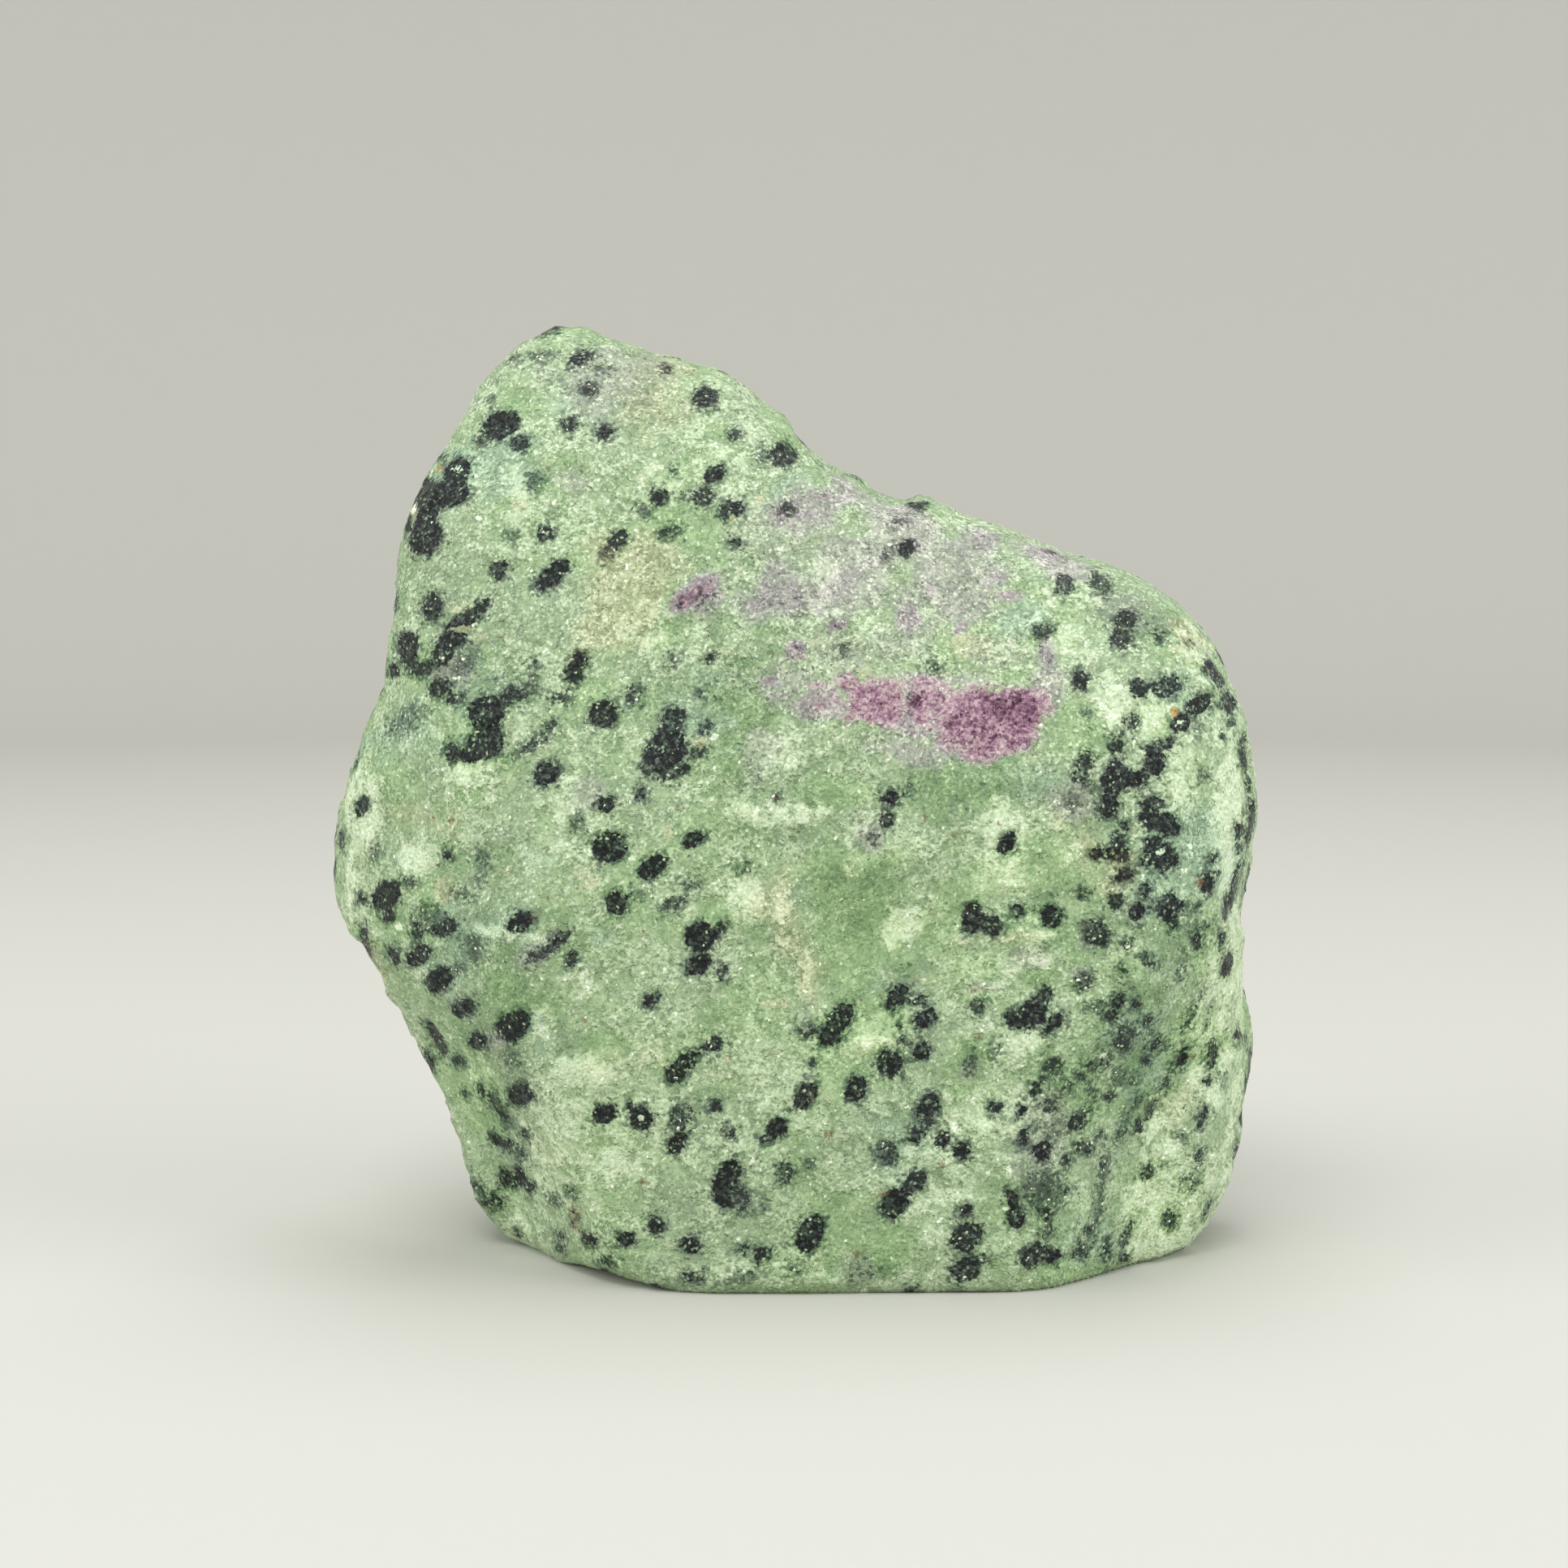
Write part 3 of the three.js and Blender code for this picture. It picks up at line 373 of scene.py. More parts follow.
OLIVE_TINTS = [
    (1065, 1150, 110, 140, 0.9), (1190, 1310, 56, 60, 1.0), (1170, 1120, 60, 90, 0.5),
    (590, 1370, 50, 110, 0.8, -0.6), (1100, 1540, 90, 60, 0.6), (1450, 1310, 110, 130, 0.6, 0.5),
    (830, 770, 110, 60, 0.4), (1030, 1280, 130, 60, 0.5, 0.5), (1290, 1060, 90, 70, 0.5),
    (1430, 1480, 70, 130, 0.5, 0.3), (1330, 1565, 110, 30, 0.6, 0.3), (930, 1240, 110, 110, 0.4),
    (1150, 1140, 50, 80, 1.0), (1036, 1175, 80, 120, 0.9), (1070, 1260, 100, 60, 1.0, 0.5),
    (1250, 1075, 90, 50, 0.7), (1040, 975, 90, 30, 0.7), (1425, 885, 50, 50, 0.7),
    (575, 905, 60, 50, 0.7), (615, 935, 100, 50, 0.4), (1190, 1200, 80, 70, 0.7),
    (730, 1300, 90, 60, 0.6, 0.4), (870, 655, 80, 60, 0.6), (600, 1345, 40, 90, 0.8, -0.6),
]
TEAL_TINTS = [
    (560, 570, 110, 60, 0.8), (625, 585, 90, 90, 0.9), (560, 800, 130, 90, 0.3), (500, 900, 90, 60, 0.5),
    (620, 850, 110, 90, 0.4, 0.3), (1450, 1080, 130, 150, 0.8), (1400, 1280, 150, 240, 0.45, 0.2),
    (1240, 960, 150, 50, 0.6), (560, 1160, 130, 110, 0.5), (700, 1300, 90, 60, 0.4),
    (860, 880, 90, 130, 0.5), (1330, 1530, 90, 60, 0.6), (1110, 1440, 90, 130, 0.5),
    (1480, 850, 90, 90, 0.35), (1340, 760, 90, 60, 0.2), (1250, 765, 70, 50, 1.0),
    (977, 600, 60, 34, 0.9, 0.2), (612, 585, 50, 50, 1.0), (755, 1430, 60, 50, 0.6),
    (465, 920, 50, 40, 0.9), (745, 1150, 50, 30, 0.7), (670, 1050, 60, 40, 0.25),
    (1225, 800, 40, 30, 0.6), (1070, 620, 40, 20, 0.7), (505, 1060, 60, 40, 0.5),
    (660, 1260, 30, 30, 0.7), (1080, 1215, 60, 30, 0.6), (660, 490, 110, 50, 0.4, 0.4),
    (1460, 1015, 90, 60, 0.7), (1290, 1240, 90, 60, 0.4),
]
SOFT_TINTS = {
    "warm": WARM_TINTS, "pale": PALE_AND_RIM_LIGHT_TINTS, "deep": DARKER_GREEN_AND_SHADE_TINTS, "olive": OLIVE_TINTS, "teal": TEAL_TINTS,
}
TINT_SOFTNESS = 0.55
TINT_WOBBLE = [(4.5, 0.45), (1.8, 0.4)]
TINT_SEED = 31

# Ledges, lumps and hollows on the front. How far they rise, in millimetres, comes after how high they are.
LEDGES = [
    (1132, 616, 44, 26, 0.2, -0.2), (1100, 614, 26, 18, -0.2), (1090, 606, 110, 44, -0.32, -0.3),
    (1006, 556, 70, 44, -0.45, -0.6), (962, 1132, 22, 74, 0.2), (988, 1196, 24, 84, 0.2, -0.35),
    (1002, 1234, 24, 40, 0.15, -0.3), (1046, 1160, 120, 150, -0.3), (970, 1000, 140, 40, 0.22, 0.1),
    (965, 1040, 140, 44, -0.14), (1262, 1068, 110, 56, 0.26, 0.2), (1268, 1114, 110, 34, -0.2, 0.2),
    (1160, 1140, 70, 110, -0.16), (1240, 1158, 150, 20, 0.18, 0.35), (1066, 1286, 100, 20, 0.2, 0.7),
    (1080, 1256, 90, 40, -0.16, 0.6), (1225, 1010, 80, 44, 0.2), (585, 950, 80, 40, 0.18, 0.2),
    (600, 985, 90, 24, -0.12, 0.1), (515, 1056, 60, 40, 0.2), (612, 1152, 90, 16, 0.18, -0.8),
    (575, 1190, 60, 70, -0.16), (650, 905, 70, 24, -0.18, 0.8), (640, 930, 60, 20, 0.14, 0.8),
    (775, 740, 110, 70, 0.16, 0.3), (860, 700, 90, 50, -0.14, 0.3), (1180, 880, 180, 60, -0.1),
    (1110, 935, 130, 24, 0.12, -0.2), (985, 905, 80, 40, 0.14, 0.3), (1455, 930, 50, 120, 0.2, 0.2),
    (1400, 985, 60, 40, -0.16), (1515, 985, 36, 70, 0.25), (1230, 1225, 60, 70, 0.15, -0.3),
    (1200, 1310, 50, 70, -0.16, 0.2), (760, 1320, 120, 60, 0.14, 0.3), (700, 1500, 40, 50, -0.14),
    (920, 1425, 70, 16, 0.12, 0.4), (640, 1380, 60, 90, -0.16, -0.5), (1310, 1390, 60, 90, -0.14, 0.2),
    (1260, 1290, 50, 40, 0.16), (890, 560, 120, 60, 0.14, 0.2), (800, 620, 90, 90, -0.14, 0.2),
    (640, 610, 80, 60, 0.16, 0.3), (1060, 700, 90, 60, -0.12, 0.2), (1150, 700, 70, 50, 0.12, 0.2),
    (980, 760, 90, 40, 0.12, 0.4),
]
# Shallow dents that run from front to back, where the outline steps in, with the same measures
OUTLINE_DENTS = [
    (1015, 556, 90, 60, -0.5, -0.6), (1098, 602, 60, 44, -0.6, -0.2), (1543, 1090, 70, 110, -0.5),
    (1543, 1112, 70, 70, -0.5), (448, 1190, 50, 60, -0.7, -0.6),
]
LEDGE_SOFTNESS = 0.4

# How far a mark reaches in depth: some millimetres, and parts of its size besides
MARK_REACH, MARK_DEPTH = 0.6, 0.75
REACH_SOFTNESS = 0.2
FAR = 3.0

# The grains on the sides and back, which the photograph doesn't show. Lengths are millimetres.
HIDDEN_SEED = 61
HIDDEN_GRAINS = 620
HIDDEN_FACING, LOWEST_GRAIN = 0.06, 0.05
GRAIN_RADIUS, SMALL_BIAS = (0.38, 1.45), 2.2
GRAIN_FLATNESS = 0.62
GRAIN_PLANE = Vector((-0.62, 0.45, 0.64)).normalized()
GRAIN_SHARES = {BLACK: 0.42, DARK: 0.3, DULL: 0.18, FAINT: 0.1}
CROWD_LENGTH, CROWD_SEED, CROWD_EDGES, THIN_CHANCE = 15.0, 5, (-0.35, 0.45), 0.18

# The tints there: small patches on the back, each with its place across and up, how wide and how high it
# is and its strength, and broad clouds all over, each with its length and seed
BEHIND = 200.0
BACK_SOFTNESS = 0.5
BACK_RUBIES = [
    ((-13.0, 30.0), 10.0, 4.6, 0.8), ((-5.0, 32.0), 7.0, 4.0, 0.7), ((12.0, 56.0), 6.0, 3.4, 0.5),
]
BACK_MAUVES = [((-8.0, 34.0), 17.0, 11.0, 0.8), ((8.0, 60.0), 16.0, 10.0, 0.7)]
HIDDEN_TINTS = {
    "warm": (17.0, 71), "pale": (9.0, 72), "deep": (13.0, 73), "olive": (15.0, 74), "teal": (14.0, 75),
}
HIDDEN_CLOUD, HIDDEN_FADE, HIDDEN_STRENGTH = (0.08, 0.6), 0.25, 0.75


def smoothstep(low, high, value):
    t = np.clip((value - low) / (high - low), 0.0, 1.0)
    return t * t * (3.0 - 2.0 * t)


def lattice_values(cells, seed):
    """A number from 0 to 1 for each whole-number cell, the same on each run."""
    mixed = (cells[..., 0] * 73856093) ^ (cells[..., 1] * 19349663) ^ (cells[..., 2] * 83492791)
    mixed = (mixed ^ (seed * 2654435761)) & 0xFFFFFFFF
    mixed = ((mixed ^ (mixed >> 15)) * 2246822519) & 0xFFFFFFFF
    mixed = ((mixed ^ (mixed >> 13)) * 3266489917) & 0xFFFFFFFF
    return ((mixed ^ (mixed >> 16)) & 0xFFFFFF) / float(0xFFFFFF)


def waves(points, length, seed):
    """Smooth noise from -1 to 1 with features of about that length."""
    scaled = points / length
    corner = np.floor(scaled).astype(np.int64)
    part = scaled - corner
    part = part * part * (3.0 - 2.0 * part)
    total = np.zeros(len(points))
    for step in np.ndindex(2, 2, 2):
        share = np.abs(1 - np.array(step) - part)
        total += share[:, 0] * share[:, 1] * share[:, 2] * lattice_values(corner + np.array(step), seed)
    return total * 2.0 - 1.0


def cells_around(corner):
    """The 27 cells in and around each point's own cell."""
    for step in np.ndindex(3, 3, 3):
        yield corner + np.array(step) - 1


def cell_randoms(cell, seed, count):
    """That many numbers from 0 to 1 for each cell."""
    return np.stack([lattice_values(cell, seed + k) for k in range(count)], axis=1)


def pit_depths(points, spacing, radius, depth, seed):
    """How deep each point lies in small round pits, about one to a cell."""
    deepest = np.zeros(len(points))
    for cell in cells_around(np.floor(points / spacing).astype(np.int64)):
        size = radius * (PIT_SMALLEST + PIT_SPREAD * lattice_values(cell, seed + 3))
        distance = np.linalg.norm(points - (cell + cell_randoms(cell, seed, 3)) * spacing, axis=1)
        deepest = np.maximum(deepest, depth * (1.0 - smoothstep(PIT_FLOOR, 1.0, distance / size)))
    return deepest


def chip_heights(points, size, slope, seed):
    """Height on small broken facets, each tipped its own way, with little steps between them."""
    drift = np.stack([waves(points, size * CHIP_DRIFT_LENGTH, seed + 7 + k) for k in range(3)], axis=1)
    moved = points + drift * size * CHIP_DRIFT
    nearest = np.full(len(points), np.inf)
    height = np.zeros(len(points))
    for cell in cells_around(np.floor(moved / size).astype(np.int64)):
        random = cell_randoms(cell, seed, 6)
        offset = moved - (cell + random[:, :3]) * size
        distance = (offset ** 2).sum(1)
        tipped = (offset * (random[:, 3:] - 0.5)).sum(1) * 2 * slope
        closer = distance < nearest
        nearest[closer] = distance[closer]
        height[closer] = tipped[closer]
    return height


def photo_ray(across, down):
    """The direction from the camera through a pixel of the photograph."""
    a = (across - PHOTO_SIDE / 2) / FOCAL_PIXELS
    b = (PHOTO_SIDE / 2 - down) / FOCAL_PIXELS
    ray = LOOK + a * CAMERA_RIGHT + b * CAMERA_UP
    return ray / np.linalg.norm(ray)


def in_photo(points):
    """Where points show in the photograph, and how far they lie from the camera."""
    offset = points - CAMERA_AT
    depth = offset @ LOOK
    across = PHOTO_SIDE / 2 + FOCAL_PIXELS * (offset @ CAMERA_RIGHT) / depth
    down = PHOTO_SIDE / 2 - FOCAL_PIXELS * (offset @ CAMERA_UP) / depth
    return across, down, depth


def link(name, data):
    """A new object in the scene."""
    made = bpy.data.objects.new(name, data)
    bpy.context.scene.collection.objects.link(made)
    return made


def dense_copy(node):
    """A new mesh of the node's shape with finer, even faces."""
    mesh = node.data.copy()
    piece = link("stone_copy", mesh)
    shape = bmesh.new()
    shape.from_mesh(mesh)
    bmesh.ops.remove_doubles(shape, verts=shape.verts, dist=WELD * MM)
    shape.to_mesh(mesh)
    shape.free()
    remesh = piece.modifiers.new("fine", "REMESH")
    remesh.mode = "VOXEL"
    remesh.voxel_size = VOXEL * MM
    remesh.use_smooth_shade = True
    evaluated = piece.evaluated_get(bpy.context.evaluated_depsgraph_get())
    fine = bpy.data.meshes.new_from_object(evaluated)
    bpy.data.objects.remove(piece)
    return fine


def read_points(mesh):
    """The mesh's points, in millimetres."""
    points = np.zeros(len(mesh.vertices) * 3)
    mesh.vertices.foreach_get("co", points)
    return points.reshape(-1, 3) / MM


def write_points(mesh, points):
    mesh.vertices.foreach_set("co", (points * MM).ravel())
    mesh.update()


def read_normals(mesh):
    normals = np.zeros(len(mesh.vertices) * 3)
    mesh.vertices.foreach_get("normal", normals)
    return normals.reshape(-1, 3)


def smoothed(points, mesh, rounds):
    """Evens out the flats of the coarse shape without shrinking it."""
    ends = np.zeros(len(mesh.edges) * 2, np.int64)
    mesh.edges.foreach_get("vertices", ends)
    one, two = ends[0::2], ends[1::2]
    count = len(points)
    degree = np.bincount(one, minlength=count) + np.bincount(two, minlength=count)
    for _ in range(rounds):
        for factor in (SMOOTH_IN, SMOOTH_OUT):
            around = [np.bincount(one, axis[two], count) + np.bincount(two, axis[one], count)
                      for axis in points.T]
            points = points + factor * (np.stack(around, axis=1) / degree[:, None] - points)
    return points


def relief_heights(mesh, points):
    """How far each point rises or sinks: ledges, uneven swells, broken facets and pits."""
    height = ledge_heights(Front(mesh))
    for number, (length, depth) in enumerate(RELIEF):
        height += depth * waves(points, length, RELIEF_SEED + number)
    for number, (size, slope) in enumerate(CHIPS):
        height += chip_heights(points, size, slope, CHIP_SEED + CHIP_SEED_STEP * number)
    height -= pit_depths(points, PIT_SPACING, PIT_RADIUS, PIT_DEPTH, PIT_SEED)
    return height * smoothstep(0.0, CALM_FOOT, points[:, 2])


def shape_foot(points, normals):
    """Cuts the foot in at its edge, flattens the base and lifts one corner."""
    under = UNDERCUT * np.clip(1.0 - points[:, 2] / UNDERCUT_HEIGHT, 0.0, 1.0) ** 2
    points[:, :2] -= normals[:, :2] * under[:, None]
    points[points[:, 2] < BASE_SKIN, 2] = 0.0
    from_corner = np.linalg.norm(points[:, :2] - LIFTED_AT, axis=1) / LIFTED_REACH
    fade = np.clip(1.0 - points[:, 2] / LIFTED_FADE, 0.0, 1.0)
    points[:, 2] += LIFTED * smoothstep(1.0, LIFTED_WHOLE, from_corner) * fade


def carve(mesh):
    """Smooths the mesh and gives it its small relief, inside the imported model's box."""
    points = smoothed(read_points(mesh), mesh, SMOOTHING_ROUNDS)
    write_points(mesh, points)
    normals = read_normals(mesh)
    points = points + normals * relief_heights(mesh, points)[:, None]
    shape_foot(points, normals)
    low, high = (np.array(corner) / MM for corner in CAD_BOX)
    write_points(mesh, np.clip(points, low, high))


def surface_tree(mesh):
    faces = [tuple(face.vertices) for face in mesh.polygons]
    return BVHTree.FromPolygons([Vector(p) for p in read_points(mesh)], faces)


class Front:
    """The mesh as the photograph sees it, for marks that are placed by pixel."""

    def __init__(self, mesh):
        self.points = read_points(mesh)
        self.across, self.down, self.depth = in_photo(self.points)
        towards = CAMERA_AT - self.points
        towards /= np.linalg.norm(towards, axis=1)[:, None]
        self.facing = np.einsum("ij,ij->i", read_normals(mesh), towards)
        self.tree = surface_tree(mesh)

    def depth_at(self, across, down):
        """The depth of the surface under a pixel, or of the nearest part of the outline beside it."""
        hit = self.tree.ray_cast(Vector(CAMERA_AT), Vector(photo_ray(across, down)))[0]
        if hit is not None:
            return float(np.dot(np.array(hit) - CAMERA_AT, LOOK))
        gap = np.hypot(self.across - across, self.down - down) + np.where(self.facing > 0, 0.0, PHOTO_SIDE)
        return float(self.depth[np.argmin(gap)])

    def oval(self, across, down, wide, high, lean=0.0):
        """How far each point is from an oval mark's edge in millimetres, below 0 inside, and its scale."""
        depth = self.depth_at(across, down)
        pixel = depth / FOCAL_PIXELS
        x = (self.across - across) / (wide / 2)
        y = (down - self.down) / (high / 2)
        square = np.sqrt(np.maximum((x * x + y * y - 2 * lean * x * y) / (1 - lean * lean), 1e-8))
        slope_x = (x - lean * y) / (1 - lean * lean) / (wide / 2)
        slope_y = (y - lean * x) / (1 - lean * lean) / (high / 2)
        slope = np.hypot(slope_x, slope_y) / square
        inside = pixel * min(wide, high) / 2
        edge = np.maximum((square - 1) / np.maximum(slope, 1e-6) * pixel, -inside)
        reach = MARK_REACH + MARK_DEPTH * pixel * max(wide, high)
        return np.maximum(edge, np.abs(self.depth - depth) - reach), square


def edge_distances(front, places):
    """How far each point is from the nearest mark's edge."""
    nearest = np.full(len(front.points), FAR)
    for place in places:
        nearest = np.minimum(nearest, front.oval(*place)[0])
    return nearest


def front_grains(front):
    """How far each point is from the nearest grain's edge, and how dark that grain is."""
    nearest = np.full(len(front.points), FAR)
    darkness = np.zeros(len(front.points))
    for dark, places in FRONT_GRAINS.items():
        for place in places:
            edge, _ = front.oval(*place)
            closer = edge < nearest
            nearest[closer] = edge[closer]
            darkness[closer] = dark
    return nearest, darkness


def parted(row):
    """A tint's or ledge's place, with its lean if it has one, and then its amount."""
    across, down, wide, high, amount, *lean = row
    return (across, down, wide, high, *lean), amount


def soft_edge(square, softness):
    """1 well inside a mark, where its scale is below 1, and 0 well outside it."""
    return 1.0 - smoothstep(1.0 - softness, 1.0 + softness, square)


def soft_oval(front, place, softness, wobble=0.0, through=False):
    """1 inside a soft-edged oval mark and 0 outside it, on the near surface or right through the stone."""
    _, square = front.oval(*place)
    inside = soft_edge(square + wobble, softness)
    if through:
        return inside
    depth = front.depth_at(*place[:2])
    reach = MARK_REACH + max(place[2:4]) * depth / FOCAL_PIXELS
    low, high = (1.0 - REACH_SOFTNESS) * reach, (1.0 + REACH_SOFTNESS) * reach
    return inside * (1.0 - smoothstep(low, high, np.abs(front.depth - depth)))


def tint_wobble(points):
    """How far a tint's edge wanders in or out at each point, in parts of the tint's size."""
    return sum(amount * waves(points, length, TINT_SEED) for length, amount in TINT_WOBBLE)


def front_tint(front, tints):
    """The strongest of some soft tints at each point, each with a wandering edge."""
    total = np.zeros(len(front.points))
    wobble = tint_wobble(front.points)
    for place, strength in map(parted, tints):
        total = np.maximum(total, strength * soft_oval(front, place, TINT_SOFTNESS, wobble))
    return total


def ledge_heights(front):
    """How far the ledges and dents raise or sink each point."""
    total = np.zeros(len(front.points))
    for places, through in ((LEDGES, False), (OUTLINE_DENTS, True)):
        for place, height in map(parted, places):
            total += height * soft_oval(front, place, LEDGE_SOFTNESS, through=through)
    return total


def hidden_grains(front, grains, darkness):
    """Scatters grains over the sides, back and top, thick in some places and thin in others."""
    random = np.random.default_rng(HIDDEN_SEED)
    points = front.points
    hidden = np.flatnonzero((front.facing < HIDDEN_FACING) & (points[:, 2] > LOWEST_GRAIN))
    chance = THIN_CHANCE + smoothstep(*CROWD_EDGES, waves(points[hidden], CROWD_LENGTH, CROWD_SEED))
    centres = random.choice(hidden, HIDDEN_GRAINS, replace=False, p=chance / chance.sum())
    plane = np.array(GRAIN_PLANE)
    small, large = GRAIN_RADIUS
    for centre in centres:
        radius = small + (large - small) * random.random() ** SMALL_BIAS
        dark = random.choice(list(GRAIN_SHARES), p=list(GRAIN_SHARES.values()))
        offset = points - points[centre]
        across = offset @ plane
        distance = np.sqrt((offset ** 2).sum(1) + (1 / GRAIN_FLATNESS ** 2 - 1) * across ** 2) - radius
        closer = (distance < grains) & (distance < FAR)
        grains[closer] = distance[closer]
        darkness[closer] = dark
    return grains, darkness


def back_tint(front, patches):
    """Soft tints on the back, each at a place across and up, wide and high, with its strength."""
    total = np.zeros(len(front.points))
    wobble = tint_wobble(front.points)
    for (x, z), wide, high, strength in patches:
        hit = front.tree.ray_cast(Vector((x, BEHIND, z)), Vector((0.0, -1.0, 0.0)))[0]
        offset = (front.points - np.array(hit)) / np.array([wide / 2, max(wide, high) / 2, high / 2])
        square = np.linalg.norm(offset, axis=1) + wobble
        total = np.maximum(total, strength * soft_edge(square, BACK_SOFTNESS))
    return total


def hidden_tint(front, name, amount):
    """Broad tints where the photograph doesn't look, in the same mix as on the front."""
    length, seed = HIDDEN_TINTS[name]
    cloud = smoothstep(*HIDDEN_CLOUD, waves(front.points, length, seed))
    away = 1.0 - smoothstep(0.0, HIDDEN_FADE, front.facing)
    return np.maximum(amount, cloud * away * HIDDEN_STRENGTH)


def mark(mesh):
    """Writes where the grains, crystals and tints are as numbers on the mesh's points."""
    front = Front(mesh)
    grains, darkness = hidden_grains(front, *front_grains(front))
    values = {"grain_edge": grains, "grain_dark": darkness}
    for name, places in SPECKS.items():
        values[name] = edge_distances(front, places)
    values["ruby"] = np.maximum(front_tint(front, RUBY_TINTS), back_tint(front, BACK_RUBIES))
    values["mauve"] = np.maximum(front_tint(front, MAUVE_TINTS), back_tint(front, BACK_MAUVES))
    for name, tints in SOFT_TINTS.items():
        values[name] = hidden_tint(front, name, front_tint(front, tints))
    for name, numbers in values.items():
        layer = mesh.attributes.new(name, "FLOAT", "POINT")
        layer.data.foreach_set("value", numbers.astype(np.float32))


# Each mineral's colours by tone, from dark to light, as red, green and blue on a screen
ZOISITE = [
    (0.09, 12, 19, 20), (0.22, 46, 54, 51), (0.33, 74, 85, 75), (0.455, 101, 116, 99),
    (0.55, 123, 141, 116), (0.63, 141, 161, 129), (0.705, 159, 180, 143), (0.78, 180, 199, 162),
    (0.85, 199, 217, 182), (0.925, 222, 236, 206), (1.0, 248, 253, 244),
]
LEAF = [
    (0.09, 10, 18, 16), (0.22, 40, 54, 43), (0.33, 64, 85, 62), (0.455, 88, 116, 83),
    (0.55, 112, 141, 99), (0.63, 132, 161, 115), (0.705, 153, 181, 132), (0.78, 175, 199, 151),
    (0.85, 196, 217, 172), (0.925, 220, 236, 198), (1.0, 247, 253, 240),
]
TEAL = [
    (0.09, 10, 19, 20), (0.22, 43, 55, 51), (0.33, 68, 86, 75), (0.455, 95, 117, 98),
    (0.55, 117, 141, 116), (0.63, 136, 161, 130), (0.705, 154, 180, 147), (0.78, 175, 199, 166),
    (0.85, 196, 217, 185), (0.925, 220, 236, 208), (1.0, 247, 253, 245),
]
CREAM = [
    (0.09, 18, 20, 18), (0.33, 86, 85, 68), (0.455, 112, 116, 90), (0.55, 134, 141, 108),
    (0.63, 152, 161, 124), (0.705, 171, 180, 141), (0.78, 191, 199, 160), (0.85, 210, 217, 180),
    (1.0, 250, 252, 236),
]
GREY = [
    (0.09, 14, 19, 20), (0.22, 49, 54, 53), (0.33, 78, 84, 78), (0.455, 110, 116, 106),
    (0.55, 136, 142, 130), (0.63, 155, 162, 147), (0.705, 172, 180, 161), (0.78, 190, 199, 177),
    (0.85, 208, 217, 193), (0.925, 227, 235, 213), (1.0, 249, 252, 244),
]
LILAC = [
    (0.09, 20, 18, 22), (0.33, 90, 80, 88), (0.455, 122, 109, 118), (0.55, 145, 134, 140),
    (0.63, 163, 155, 156), (0.705, 179, 173, 171), (0.78, 195, 191, 185), (0.85, 211, 209, 200),
    (1.0, 250, 250, 246),
]
RUBY = [
    (0.09, 26, 14, 22), (0.25, 86, 50, 72), (0.36, 116, 79, 101), (0.48, 149, 114, 133),
    (0.56, 171, 139, 152), (0.68, 187, 167, 169), (0.8, 205, 196, 189), (1.0, 250, 248, 246),
]
RUST, OCHRE = (122, 84, 60), (192, 145, 68)
FLOOR_COLOUR = (201, 201, 194)


def linear(*screen):
    """A colour that is given as 0 to 255 on a screen, as the shader takes it."""
    def one(value):
        value /= 255.0
        return value / 12.92 if value <= 0.04045 else ((value + 0.055) / 1.055) ** 2.4
    return (*map(one, screen), 1.0)


